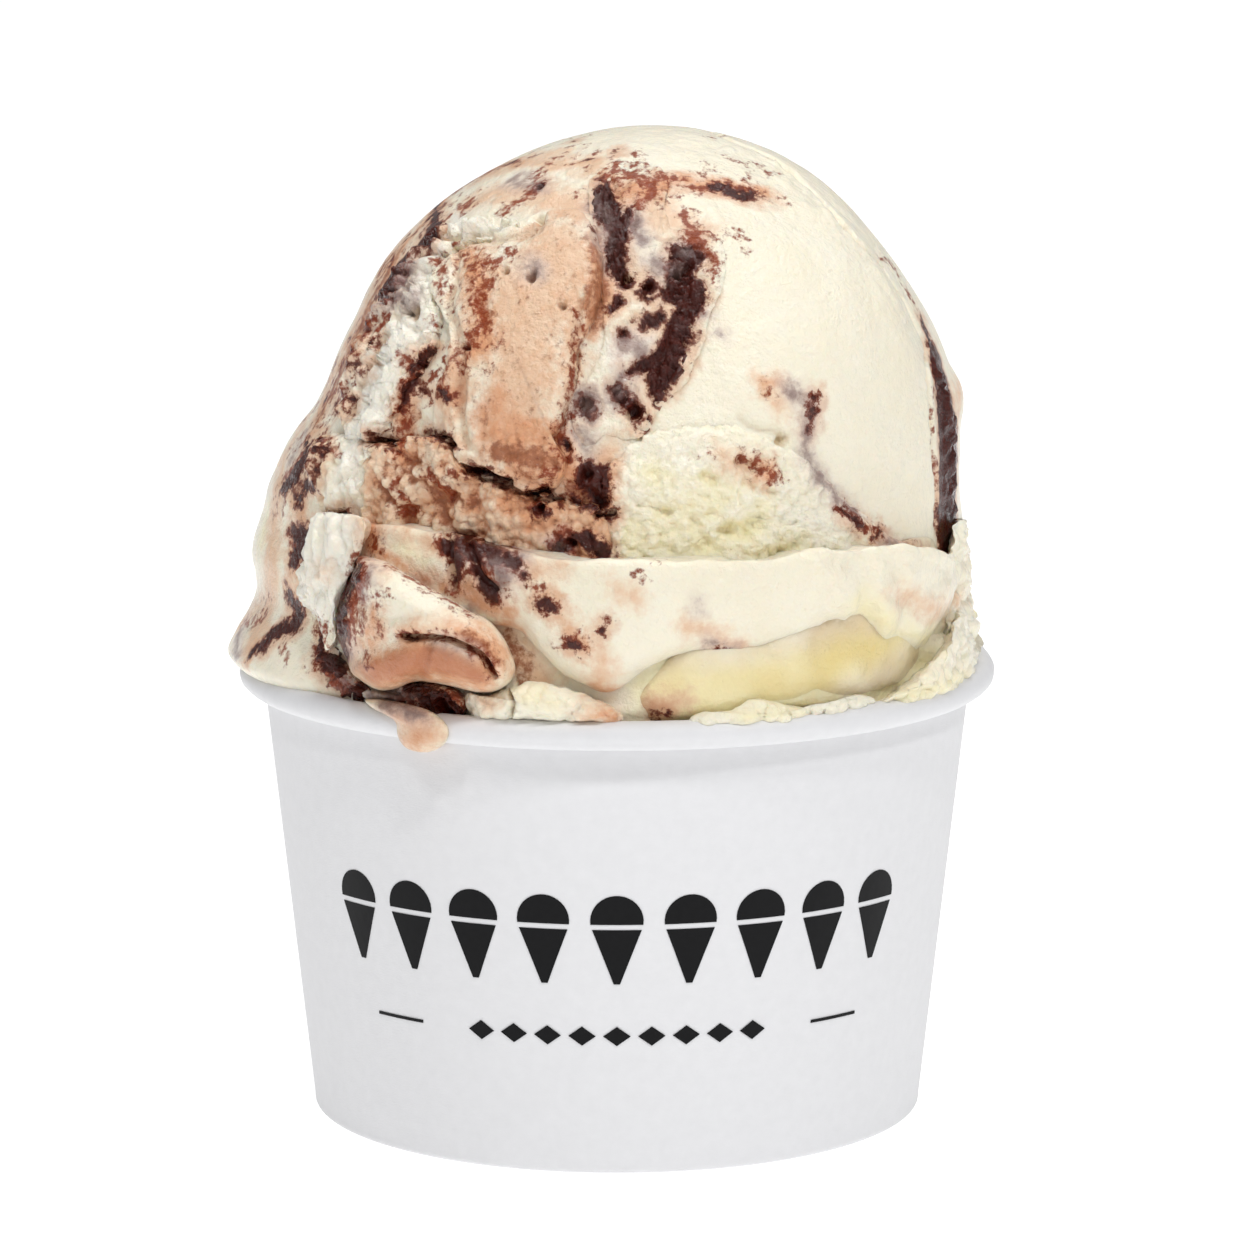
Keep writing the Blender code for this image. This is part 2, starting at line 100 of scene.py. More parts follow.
# %% Easing helpers
def eased(x, low, high):
    """0 below low, 1 above high, and 3t^2 - 2t^3 between."""
    t = np.clip((np.asarray(x, float) - low) / (high - low), 0, 1)
    return t * t * (3 - 2 * t)


def hill(x, centre, width):
    """A hill of height 1: (1 - u^2) squared, where u is the distance over the width."""
    t = np.clip(1 - ((np.asarray(x, float) - centre) / width) ** 2, 0, None)
    return t * t


def turn_off(azimuth, centre):
    """Degrees from centre to azimuth, from -180 to 180."""
    return (np.asarray(azimuth, float) - centre + 180) % 360 - 180


def smooth_between(x, stops):
    """A cubic Hermite curve through (x, value) stops, level at each end."""
    xs, ys = np.array(stops, float).T
    slope = np.gradient(ys, xs)
    slope[0] = slope[-1] = 0
    i = np.clip(np.searchsorted(xs, x) - 1, 0, len(xs) - 2)
    span = xs[i + 1] - xs[i]
    t = np.clip((x - xs[i]) / span, 0, 1)
    t2, t3 = t * t, t * t * t
    rise = (2 * t3 - 3 * t2 + 1) * ys[i] + (3 * t2 - 2 * t3) * ys[i + 1]
    return rise + span * ((t3 - 2 * t2 + t) * slope[i] + (t3 - t2) * slope[i + 1])


print("half way up a soft step", eased(0.5, 0, 1))

# %% [markdown]
# ## Noise
# Churned gelato is full of air and ice crystals, so its surface is never quite smooth.
# Two kinds of noise make that: a smooth one for swells and ragged edges, and a cellular
# one whose cells are the round grains that show where the mass was torn.

# %% Smooth and cellular noise from one hash
def hashed(cells, seed):
    """Scrambles whole-number cells to one number from 0 to 1 each, always the same for a seed."""
    x, y, z = (cells[..., i].astype(np.int64) for i in range(3))
    h = (x * 374761393 + y * 668265263 + z * 1442695041 + seed * 362437) & 0xFFFFFFFF
    h = ((h ^ (h >> 13)) * 1274126177) & 0xFFFFFFFF
    h = ((h ^ (h >> 15)) * 2246822519) & 0xFFFFFFFF
    return ((h ^ (h >> 16)) & 0xFFFFFF) / 0xFFFFFF


def smooth_noise(points, size, seed):
    """Values at the corners of cubes of that size in mm, blended with a fifth-power ease, from -1 to 1."""
    scaled = points / size
    corner = np.floor(scaled)
    t = scaled - corner
    t = t * t * t * (t * (t * 6 - 15) + 10)
    total = np.zeros(points.shape[:-1])
    for dx in (0, 1):
        for dy in (0, 1):
            for dz in (0, 1):
                share = np.abs(1 - dx - t[..., 0]) * np.abs(1 - dy - t[..., 1]) * np.abs(1 - dz - t[..., 2])
                total += share * hashed(corner + (dx, dy, dz), seed)
    return total * 2 - 1


def fractal(points, size, octaves, seed):
    """Smooth noise plus ever finer and weaker copies: each half the size and half the height."""
    total = np.zeros(points.shape[:-1])
    for octave in range(octaves):
        total += smooth_noise(points, size / 2**octave, seed + octave) / 2**octave
    return total


def grains(points, size, seed):
    """Round grains: 1 at the middle of each cell, 0 where it meets the next, from the nearest centre."""
    scaled = points / size
    corner = np.floor(scaled)
    nearest = np.full(points.shape[:-1], 9.0)
    for dx in (-1, 0, 1):
        for dy in (-1, 0, 1):
            for dz in (-1, 0, 1):
                cell = corner + (dx, dy, dz)
                centre = cell + np.stack([hashed(cell, seed + i) for i in range(3)], axis=-1)
                nearest = np.minimum(nearest, np.sum((scaled - centre) ** 2, axis=-1))
    return np.clip(1 - nearest / 0.7, 0, 1)


TURNED = np.array(Matrix.Rotation(0.7, 3, "X") @ Matrix.Rotation(0.5, 3, "Y") @ Matrix.Rotation(0.9, 3, "Z"))


def sloped_noise(points, size, seed):
    """Noise that is 0 at every corner of its cubes and leaves it with a random slope, from about -1 to 1."""
    scaled = points / size
    corner = np.floor(scaled)
    t = scaled - corner
    ease = t * t * t * (t * (t * 6 - 15) + 10)
    total = np.zeros(points.shape[:-1])
    for dx in (0, 1):
        for dy in (0, 1):
            for dz in (0, 1):
                share = np.prod(np.abs((1 - dx, 1 - dy, 1 - dz) - ease), axis=-1)
                slopes = (hashed(corner + (dx, dy, dz), seed + 70 * i) - 0.5 for i in range(3))
                total += share * sum(slope * (t[..., i] - d) for i, (slope, d) in enumerate(zip(slopes, (dx, dy, dz))))
    return total * 3


def billows(points, size, octaves, seed):
    """Soft lumps that meet in sharp creases: sloped noise without its sign, and finer copies half as high."""
    total = np.zeros(points.shape[:-1])
    for octave in range(octaves):
        total += np.abs(sloped_noise(points @ TURNED, size / 2**octave, seed + octave)) / 2**octave
    return total


def warp(points, size, reach, seed):
    """Points moved by up to reach, by three smooth noises, so that lines drawn near them wander."""
    moves = np.stack([smooth_noise(points, size, seed + 50 * i) for i in range(3)], axis=-1)
    return points + reach * moves


print("noise at the origin", round(float(smooth_noise(np.zeros((1, 3)), 1.0, 1)[0]), 3))

# %% [markdown]
# ## Surfaces on a grid
# Each piece is one grid of points: rows along it, columns round it. The columns close on
# themselves and a point closes each end, so the piece is watertight. Relief moves each
# point along the surface's own normal, which comes from its neighbours on the grid.

# %% Normals, relief and the closed mesh
def grid_normals(grid):
    """Unit normals: the cross product of the steps along the rows and round the columns."""
    along = np.gradient(grid, axis=0)
    around = np.roll(grid, -1, axis=1) - np.roll(grid, 1, axis=1)
    normals = np.cross(around, along)
    normals /= np.linalg.norm(normals, axis=-1)[..., None] + 1e-9
    middle = grid.mean(axis=(0, 1))
    outward = np.sum(normals * (grid - middle), axis=-1).mean()
    return normals if outward > 0 else -normals


def raised(grid, reach):
    """The grid moved along its normals by reach in mm at each point."""
    return grid + grid_normals(grid) * reach[..., None]


def surface_object(name, grid, fields, finish):
    """A closed object from a grid: quads between the rows, and a fan to a middle point at each end."""
    rows, columns = grid.shape[:2]
    ends = [grid[0].mean(axis=0), grid[-1].mean(axis=0)]
    points = np.concatenate([grid.reshape(-1, 3), ends]) * MM
    r, c = np.meshgrid(np.arange(rows - 1), np.arange(columns), indexing="ij")
    following = (c + 1) % columns
    quads = np.stack([r * columns + c, r * columns + following,
                      (r + 1) * columns + following, (r + 1) * columns + c], axis=-1).reshape(-1, 4)
    ring = np.arange(columns)
    onward = (ring + 1) % columns
    low, high = rows * columns, rows * columns + 1
    last = (rows - 1) * columns
    fans = [(onward[i], ring[i], low) for i in ring] + [(last + ring[i], last + onward[i], high) for i in ring]
    mesh = bpy.data.meshes.new(name)
    mesh.from_pydata(points, [], quads.tolist() + [tuple(map(int, f)) for f in fans])
    for field, values in fields.items():
        ended = np.concatenate([values.ravel(), [values[0].mean(), values[-1].mean()]])
        mesh.attributes.new(field, "FLOAT", "POINT").data.foreach_set("value", ended.astype(np.float32))
    turn_outward(mesh)
    mesh.shade_smooth()
    return placed(name, mesh, finish)


def turn_outward(mesh):
    """Turns every face outward: a closed mesh with a negative volume is inside out."""
    bm = bmesh.new()
    bm.from_mesh(mesh)
    if bm.calc_volume(signed=True) < 0:
        bmesh.ops.reverse_faces(bm, faces=bm.faces)
    bm.to_mesh(mesh)
    bm.free()


def placed(name, mesh, finish):
    """Links a mesh to the scene under its name, with its finish."""
    obj = bpy.data.objects.new(name, mesh)
    bpy.context.scene.collection.objects.link(obj)
    mesh.materials.append(finish)
    return obj


def as_gelato(obj):
    """Hangs a piece on the root, where the plain gelato solid was, and hides that solid; prints the piece's triangles.
    """
    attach(obj, "root")
    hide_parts("gelato")
    triangles = sum(len(p.vertices) - 2 for p in obj.data.polygons)
    print(obj.name, triangles, "triangles")


# %% [markdown]
# ## Strokes
# Ripple, smears and cracks are drawn as strokes. A stroke is a row of stops, each a place
# in the picture and a half width there, in picture pixels (8.9 to a millimetre). It is
# landed on the surface under it, and every point of the surface then knows how deep it
# lies inside the nearest stroke, in millimetres. The measure is a real distance over the
# surface, so a stroke keeps its width from every side.

# %% Landing strokes and measuring from them
PIXELS_PER_MM = 8.9
FAR_OUTSIDE = -6.0


def filled_in(stops, step=9.0):
    """Stops added along a stroke so that none are further apart than step pixels."""
    stops = np.array(stops, float)
    if len(stops) == 1:
        return stops
    runs = np.linalg.norm(np.diff(stops[:, :2], axis=0), axis=1)
    length = np.concatenate([[0], np.cumsum(runs)])
    marks = np.linspace(0, length[-1], max(2, int(length[-1] / step) + 1))
    return np.stack([np.interp(marks, length, column) for column in stops.T], axis=1)


def landed(stops, points, places, facing):
    """The facing point of the surface that is seen nearest to each stop."""
    found = []
    for stop in stops:
        off = np.sum((places - stop[:2]) ** 2, axis=-1) + 1e6 * ~facing
        found.append(points[np.argmin(off)])
    return np.array(found)


def depth_inside(points, centres, widths):
    """How deep points lie inside a stroke: its width less the distance to its nearest run."""
    if len(centres) == 1:
        return widths[0] - np.linalg.norm(points - centres[0], axis=-1)
    best = np.full(len(points), -1000.0)
    for start, end, wide, wider in zip(centres, centres[1:], widths, widths[1:]):
        run = end - start
        share = np.clip((points - start) @ run / (run @ run + 1e-9), 0, 1)
        away = np.linalg.norm(points - start - share[:, None] * run, axis=-1)
        best = np.maximum(best, wide + (wider - wide) * share - away)
    return best


def stroke_field(grid, strokes, wander=0.7, seed=7, lines=()):
    """For each point, how deep it lies inside the nearest stroke, in mm. Lines are strokes already on the surface."""
    points = grid.reshape(-1, 3)
    normals = grid_normals(grid).reshape(-1, 3)
    facing = normals @ TO_EYE > 0.02
    places = seen_at(points)
    moved = warp(warp(points, 3.2, wander, seed), 1.3, 0.4 * wander, seed + 9)
    field = np.full(len(points), FAR_OUTSIDE)
    drawn = [filled_in(stops) for stops in strokes]
    drawn = [(landed(stops, points, places, facing), stops[:, 2] / PIXELS_PER_MM) for stops in drawn]
    for centres, widths in drawn + list(lines):
        reach = widths.max() + 5
        near = np.all((moved > centres.min(axis=0) - reach) & (moved < centres.max(axis=0) + reach), axis=-1)
        field[near] = np.maximum(field[near], depth_inside(moved[near], centres, widths))
    return np.maximum(field, FAR_OUTSIDE).reshape(grid.shape[:2])


def picture_field(grid, strokes, wander=0.7, seed=7):
    """The same depth in mm, measured in the picture, for a piece whose whole front faces the eye."""
    moved = seen_at(warp(warp(grid, 3.2, wander, seed), 1.3, 0.4 * wander, seed + 9)).reshape(-1, 2)
    field = np.full(len(moved), FAR_OUTSIDE)
    for stops in strokes:
        stops = filled_in(stops)
        reach = stops[:, 2].max() + 45
        low, high = stops[:, :2].min(axis=0) - reach, stops[:, :2].max(axis=0) + reach
        near = np.all((moved > low) & (moved < high), axis=-1)
        inside_by = depth_inside(moved[near], stops[:, :2], stops[:, 2]) / PIXELS_PER_MM
        field[near] = np.maximum(field[near], inside_by)
    return np.maximum(field, FAR_OUTSIDE).reshape(grid.shape[:2])


def specks(guide, count, spread, sizes, seed):
    """Many single-stop strokes scattered beside a guide line, with sizes from small to large in pixels."""
    random = np.random.default_rng(seed)
    line = filled_in(guide, 4.0)
    chosen = line[random.integers(len(line), size=count), :2] + random.normal(0, spread, (count, 2))
    size = sizes[0] + (sizes[1] - sizes[0]) * random.random(count) ** 2
    return tuple(((x, y, w),) for (x, y), w in zip(chosen, size))


# %% [markdown]
# ## Colours
# A colour is written as the hex value that a screen shows. The shader works in linear
# light, so one function takes the screen's curve off each channel.

# %% Hex to linear, and one helper for nodes
def linear(code):
    """sRGB hex to linear: over 0.04045 it is ((c + 0.055) / 1.055) to the power 2.4, below it c / 12.92."""
    channels = [int(code[i:i + 2], 16) / 255 for i in (1, 3, 5)]
    return (*[((c + 0.055) / 1.055) ** 2.4 if c > 0.04045 else c / 12.92 for c in channels], 1.0)


def add(tree, kind, settings=None, **sockets):
    """Adds a node. Settings are its properties; a socket gets a link, a value, or a colour from its hex."""
    node = tree.nodes.new(kind)
    for key, value in (settings or {}).items():
        setattr(node, key, value)
    for key, value in sockets.items():
        slot = int(key[1:]) if key[0] == "_" else key.replace("_", " ")
        target = node.inputs[slot]
        if isinstance(value, bpy.types.NodeSocket):
            tree.links.new(value, target)
        else:
            target.default_value = linear(value) if isinstance(value, str) else value
    return node


def new_material(name):
    """An empty node material, its tree and its surface shader."""
    made = bpy.data.materials.new(name)
    made.use_nodes = True
    tree = made.node_tree
    tree.nodes.clear()
    shader = add(tree, "ShaderNodeBsdfPrincipled")
    output = add(tree, "ShaderNodeOutputMaterial")
    tree.links.new(shader.outputs[0], output.inputs[0])
    return made, tree, shader


print("cream in linear light", [round(c, 3) for c in linear("#F3EEDA")])

# %% [markdown]
# ## The gelato's finish
# Gelato is milk, sugar and about a third of air, churned and held at -12 degrees. Light
# goes a few millimetres into it and comes back warm, which is subsurface scattering. Its
# skin is wet, so it has a soft gloss with tiny glints. Chocolate ripple is cocoa fat and
# sugar: almost black where thick, red-brown where smeared thin, grey-lilac where a film
# of milk lies over it. Each of those is a layer, held by a field that the mesh carries,
# and a fine noise makes its edge ragged.
# Hollows, creases and the parts under the skirt and the tongue are also darkened in the colour itself: painted shade.

# %% Marbled gelato: fior di latte with chocolate ripple
# The field deep carries painted shade: how far a point lies in a hollow, a crease or under an overhang. rough scales
# the bump.
FIELDS = ("yellow", "white", "tan", "peach", "brown", "film", "smear", "cocoa", "rough", "deep")
# Size of the largest features in mm, detail and roughness
PATTERNS = {"swirl": (7.0, 3, 0.55), "fleck": (1.6, 5, 0.65), "crumb": (0.85, 3, 0.64)}
# From the bottom up: the field, its light and dark tone, the pattern that mixes them, the pattern
# at its edge, how ragged and how grown the edge is in mm, its softness in mm, and the most that shows
LAYERS = (
    ("yellow", "#F8EFC6", "#F2E5AE", "swirl", "swirl", 1.5, 0.0, 2.2, 0.8),
    ("white", "#F7F3E8", "#EFE9DA", "fleck", "fleck", 1.2, 0.0, 1.2, 0.9),
    ("tan", "#EDCDB0", "#DFB28C", "fleck", "fleck", 2.4, 0.2, 1.8, 0.9),
    ("peach", "#E6B08A", "#D08A5C", "fleck", "fleck", 1.8, 0.1, 1.5, 0.92),
    ("cocoa", "#E2B490", "#D0946C", "fleck", "fleck", 1.6, 1.2, 0.9, 0.6),
    ("brown", "#BE7A52", "#7C3E25", "crumb", "crumb", 2.4, 0.2, 0.8, 0.88),
    ("film", "#DECDC3", "#CBB7AD", "fleck", "fleck", 1.6, 0.5, 1.3, 0.7),
    ("film", "#9E8880", "#806A66", "fleck", "fleck", 1.8, -0.4, 0.9, 0.85),
    ("smear", "#B24E1C", "#5E1B08", "crumb", "crumb", 2.6, 0.0, 0.6, 0.95),
    ("cocoa", "#8A3816", "#581B0A", "crumb", "crumb", 1.6, 0.35, 0.3, 0.9),
    ("cocoa", "#5A1E12", "#1C0502", "fleck", "crumb", 0.9, 0.0, 0.2, 1.0),
    ("film", "#A8918A", "#7C6866", "fleck", "fleck", 1.6, -0.9, 0.9, 0.6),
)


def marbled_gelato():
    """Layers of colour over cream, each where its field in mm, shaken by noise, is above nothing; then painted shade
    where the field deep is high.
    """
    made, tree, shader = new_material("marbled_gelato")
    place = add(tree, "ShaderNodeTexCoord").outputs["Object"]
    pattern = {name: add(tree, "ShaderNodeTexNoise", Vector=place, Scale=1 / (size * MM), Detail=detail,
                         Roughness=rough).outputs["Fac"] for name, (size, detail, rough) in PATTERNS.items()}
    field = {name: add(tree, "ShaderNodeAttribute", {"attribute_name": name}).outputs["Fac"] for name in FIELDS}
    colours = {"data_type": "RGBA"}
    colour = add(tree, "ShaderNodeMix", colours, Factor=pattern["swirl"], _6="#F7F1E0", _7="#F2E9D1").outputs[2]
    shares = {}
    for name, light, dark, tones, edge, ragged, grown, soft, most in LAYERS:
        shaken = add(tree, "ShaderNodeMath", {"operation": "MULTIPLY_ADD"}, _0=pattern[edge], _1=2 * ragged,
                     _2=grown - ragged).outputs[0]
        depth = add(tree, "ShaderNodeMath", {"operation": "ADD"}, _0=field[name], _1=shaken).outputs[0]
        shares[name] = add(tree, "ShaderNodeMapRange", {"interpolation_type": "SMOOTHSTEP"},
                           _0=depth, _1=-soft, _2=soft, _3=0.0, _4=most).outputs[0]
        tone = add(tree, "ShaderNodeMix", colours, Factor=pattern[tones], _6=light, _7=dark).outputs[2]
        colour = add(tree, "ShaderNodeMix", colours, Factor=shares[name], _6=colour, _7=tone).outputs[2]

    # Painted shade: where the field deep is high, in hollows, creases, cracks and the parts under the skirt and the
    # tongue, the colour is multiplied by a warm shade tone
    hollow_shade = add(tree, "ShaderNodeMapRange", _0=field["deep"], _1=0.06, _2=0.45, _3=0.0, _4=0.6).outputs[0]
    shade = add(tree, "ShaderNodeMix", colours, Factor=shares["yellow"], _6="#D8BE98", _7="#EFDD96").outputs[2]
    shade = add(tree, "ShaderNodeMix", colours, Factor=shares["tan"], _6=shade, _7="#B87C58").outputs[2]
    colour = add(tree, "ShaderNodeMix", {**colours, "blend_type": "MULTIPLY"}, Factor=hollow_shade, _6=colour, _7=shade).outputs[2]
    tree.links.new(colour, shader.inputs["Base Color"])

    gloss = add(tree, "ShaderNodeMapRange", _0=shares["cocoa"], _1=0.0, _2=1.0, _3=0.36, _4=0.2).outputs[0]
    tree.links.new(gloss, shader.inputs["Roughness"])
    coarse = add(tree, "ShaderNodeMapRange", _0=field["rough"], _1=-0.5, _2=0.8, _3=0.6, _4=1.0).outputs[0]
    fine = add(tree, "ShaderNodeBump", Strength=coarse, Distance=0.4 * MM, Height=pattern["crumb"])
    bump = add(tree, "ShaderNodeBump", Strength=0.6, Distance=0.7 * MM, Height=pattern["fleck"],
               Normal=fine.outputs[0])
    for socket in ("Normal", "Coat Normal"):
        tree.links.new(bump.outputs[0], shader.inputs[socket])
    shader.inputs["IOR"].default_value = 1.4
    shader.inputs["Subsurface Weight"].default_value = 0.3
    shader.inputs["Subsurface Radius"].default_value = (1.0, 0.7, 0.45)
    shader.inputs["Subsurface Scale"].default_value = 1.2 * MM
    shader.inputs["Specular IOR Level"].default_value = 0.25
    shader.inputs["Coat Weight"].default_value = 0.4
    shader.inputs["Coat Roughness"].default_value = 0.05
    return made


gelato_finish = marbled_gelato()
print("gelato fields", FIELDS)

# %% [markdown]
# ## The mound
# The dome is a half ellipsoid on a flared stem that fills the cup. It could be sculpted
# by hand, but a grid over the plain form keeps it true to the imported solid, and every
# swell, laid sheet and lobe is a small sum of hills added to it. The front is gridded
# up to five times as finely as the back, because the torn grain there is only a millimetre.

# %% The plain mound
RIM_RADIUS, CUP_HEIGHT, FOOT_RADIUS, BOARD, ROLL_RADIUS = 43.0, 52.0, 34.8, 0.5, 1.6
ROLL_CENTRE = (RIM_RADIUS - ROLL_RADIUS, CUP_HEIGHT - ROLL_RADIUS)
WALL_FOOT = FOOT_RADIUS - BOARD / 2
WALL_TOP = ROLL_CENTRE[0] - (ROLL_RADIUS - BOARD / 2)
GAP = 0.3
MOUND_TOP, DOME_RADIUS, DOME_RISE, STEM_FOOT = 112.0, 36.0, 38.3, 51.0
DOME_CENTRE = MOUND_TOP - DOME_RISE
FRONT_COLUMNS, BACK_COLUMNS = 420, 78
STEM_ROWS, DOME_ROWS = 56, 139


def inner_wall(z):
    """Radius of the wall's inner face: straight from the foot to the roll."""
    return WALL_FOOT + (WALL_TOP - WALL_FOOT) * z / ROLL_CENTRE[1] - BOARD / 2


def axis_shift(z):
    """How far the mound's own middle stands towards +X at a height."""
    return 2.6 * eased(z, CUP_HEIGHT, DOME_CENTRE) + 1.5 * eased(z, 99, MOUND_TOP)


def mound_profile():
    """Rows of radius, height and the outward normal's two shares, from the cup's floor to the crown."""
    floor = 5.9
    z = np.concatenate([[floor, floor + 0.6, 49.4], np.linspace(50.3, DOME_CENTRE, STEM_ROWS)])
    foot = inner_wall(STEM_FOOT) - GAP - 0.5
    r = foot + (DOME_RADIUS - foot) * np.clip((z - STEM_FOOT) / (DOME_CENTRE - STEM_FOOT), 0, 1)
    r[:3] = inner_wall(z[:3]) - GAP
    r[0] -= 0.6
    angle = np.linspace(0, pi / 2, DOME_ROWS + 2)[1:-1]
    r = np.concatenate([r, DOME_RADIUS * np.cos(angle)])
    out = np.concatenate([np.ones(len(z)), np.cos(angle)])
    up = np.concatenate([np.zeros(len(z)), np.sin(angle)])
    z = np.concatenate([z, DOME_CENTRE + DOME_RISE * np.sin(angle)])
    return r, z, out, up


front = np.concatenate([np.linspace(-105, -62, 60, endpoint=False), np.linspace(-62, 30, 250, endpoint=False),
                        np.linspace(30, 105, FRONT_COLUMNS - 310)])
back = np.linspace(105, 255, BACK_COLUMNS + 2)[1:-1]
azimuth = np.concatenate([front, back])[None, :]
radius, height, out_share, up_share = (column[:, None] for column in mound_profile())
turn = np.radians(azimuth)
plain = np.stack(np.broadcast_arrays(
    axis_shift(height) + radius * np.sin(turn), -radius * np.cos(turn), height), axis=-1)
push = np.stack(np.broadcast_arrays(
    out_share * np.sin(turn), -out_share * np.cos(turn), up_share), axis=-1)
print("plain mound", plain.shape[:2], "points")

# %% [markdown]
# The spatula lays sheets over each other: a panel at the front left with a crisp edge, a
# smooth cap over the right, a torn band between the panel and the left side. Their edges
# wander, because the azimuth and height they are measured in are shaken by noise.

# %% Sheets, swells and the lobe at the left
wandering = azimuth + 2.2 * smooth_noise(plain, 7.0, 3) + 1.0 * smooth_noise(plain, 2.2, 4)
rising = height + 1.2 * smooth_noise(plain, 6.0, 5) + 0.5 * smooth_noise(plain, 2.0, 6)

# Middle, half width and edge in degrees; lower and upper height, each with its edge; reach
SHEETS = (
    (-24, 13.2, 1.6, 77.5, 1.2, 103.2, 1.0, 0.95),
    (-54, 8, 9, 73, 4, 95.5, 4, 0.9),
    (40.5, 26.5, 12, 74, 12, 104, 8, 1.1),
    (172, 43, 3, 68, 2.5, 88.5, 2.5, 1.2),
)
# Azimuth and half width in degrees; height and half height; reach
SWELLS = ((-4, 46, 71, 6, -1.3), (92, 14, 81.5, 4, 0.8), (94, 24, 63, 9, 1.3))
LOBE_REACH = (
    (50.3, 0.0), (51.2, 3.4), (52.4, 5.2), (54.5, 5.1), (57.0, 4.0), (59.5, 3.5), (61.5, 4.0),
    (64.0, 5.1), (69.0, 5.5), (72.0, 5.7), (75.5, 4.6), (78.0, 3.3), (80.0, 2.1), (82.5, 1.3),
    (86.0, 0.8), (92.0, 0.0),
)


def sheet_reach(middle, half_width, edge, low, low_edge, high, high_edge, reach):
    """A laid sheet: three soft steps multiplied, across, at the foot and at the top."""
    across = eased(half_width - abs(turn_off(wandering, middle)), -edge / 2, edge / 2)
    above = eased(rising - low, -low_edge / 2, low_edge / 2)
    below = eased(high - rising, -high_edge / 2, high_edge / 2)
    return reach * across * above * below


def broad_relief():
    """Slow waves, laid sheets, swells, the left lobe and the lumps at the foot, in mm."""
    waves = 0.35 * np.sin(3 * turn + height * 0.11) + 0.3 * np.sin(5 * turn - height * 0.17 + 1.3)
    total = waves * eased(height, 54, 64) * eased(-height, -104, -88)
    for sheet in SHEETS:
        total = total + sheet_reach(*sheet)
    for middle, half_width, z, half_height, reach in SWELLS:
        total = total + reach * hill(turn_off(azimuth, middle), 0, half_width) * hill(height, z, half_height)
    total = total * eased(height, 52, 56)
    beside = hill(turn_off(azimuth, -84), 0, 46)
    total = total + beside**0.6 * smooth_between(height, LOBE_REACH) * (height > 50.3) * (height < 92)
    low = eased(height, 51.5, 53) * eased(-height, -60, -56)
    crumbs = np.sin(turn * 19 + height)
    lumps = 1.9 * hill(turn_off(azimuth, 24), 0, 30) + (2.5 + 0.9 * crumbs) * hill(turn_off(azimuth, 74), 0, 26)
    behind = (1.6 + 0.7 * np.sin(turn * 13 + height * 0.8)) * eased(abs(turn_off(azimuth, 0)), 84, 100)
    return total + low * (lumps + behind * (1 - beside))


mound = plain + broad_relief()[..., None] * push
print("mound reaches", mound.reshape(-1, 3).min(axis=0).round(1), mound.reshape(-1, 3).max(axis=0).round(1))

# %% [markdown]
# Now the marbling. Each table below is one kind of mark, drawn over the mound from the
# crown downwards: across, down, half width, in pixels of the picture.

# %% Strokes on the mound
COCOA = (
    ((603, 188, 8), (606, 206, 11), (612, 222, 12)),
    ((626, 214, 7), (622, 235, 10), (617, 252, 12), (620, 268, 7)),
    ((626, 277, 6),), ((647, 285, 8),), ((619, 300, 5), (612, 308, 4)),
    ((686, 262, 16), (672, 287, 12), (693, 293, 14), (688, 308, 13), (681, 329, 13), (677, 345, 12),
     (668, 360, 18), (659, 380, 14), (656, 395, 5)),
    ((668, 358, 12), (646, 361, 7), (631, 366, 4)),
    ((640, 323, 3), (654, 319, 7), (664, 314, 5)), ((624, 334, 4),), ((655, 297, 2), (640, 290, 2)),
    ((620, 388, 5), (630, 405, 8), (636, 418, 8)), ((586, 408, 9),), ((566, 444, 5),),
    ((712, 185, 6), (728, 190, 8), (744, 198, 8), (762, 196, 4)),
    ((441, 203, 4), (434, 219, 6), (427, 239, 8), (414, 249, 7), (402, 262, 7), (389, 282, 7), (379, 297, 5)),
    ((513, 162, 4),), ((537, 187, 6),), ((494, 168, 2), (469, 182, 3), (452, 194, 3)),
    ((414, 369, 7), (429, 356, 5)), ((419, 384, 6), (409, 397, 6), (402, 409, 4)), ((424, 390, 3), (449, 398, 3)),
    ((590, 465, 10), (588, 480, 12), (600, 470, 10), (604, 502, 6)), ((575, 497, 3), (611, 512, 3)),
    ((541, 512, 6),), ((571, 542, 9), (560, 548, 6)), ((585, 540, 8), (604, 553, 7)),
    ((305, 445, 5), (305, 462, 6), (297, 477, 12), (286, 487, 7)), ((307, 487, 7),), ((297, 500, 7),),
    ((295, 527, 5), (306, 537, 11), (301, 549, 9), (297, 564, 7)),
    ((291, 592, 5), (293, 606, 5), (299, 617, 8), (284, 628, 8), (270, 640, 7), (254, 651, 6)),
    ((322, 630, 4), (324, 645, 6), (325, 660, 7), (335, 672, 7)),
    ((922, 318, 3), (931, 345, 10), (939, 371, 17), (944, 397, 26), (947, 425, 32), (948, 454, 34),
     (948, 480, 34), (949, 507, 32), (949, 534, 26), (946, 566, 16), (943, 593, 5)),
    ((838, 508, 2), (850, 518, 3), (859, 524, 2)), ((875, 534, 3),), ((812, 400, 3), (808, 425, 2)),
    ((668, 712, 3),), ((655, 716, 2),),
)
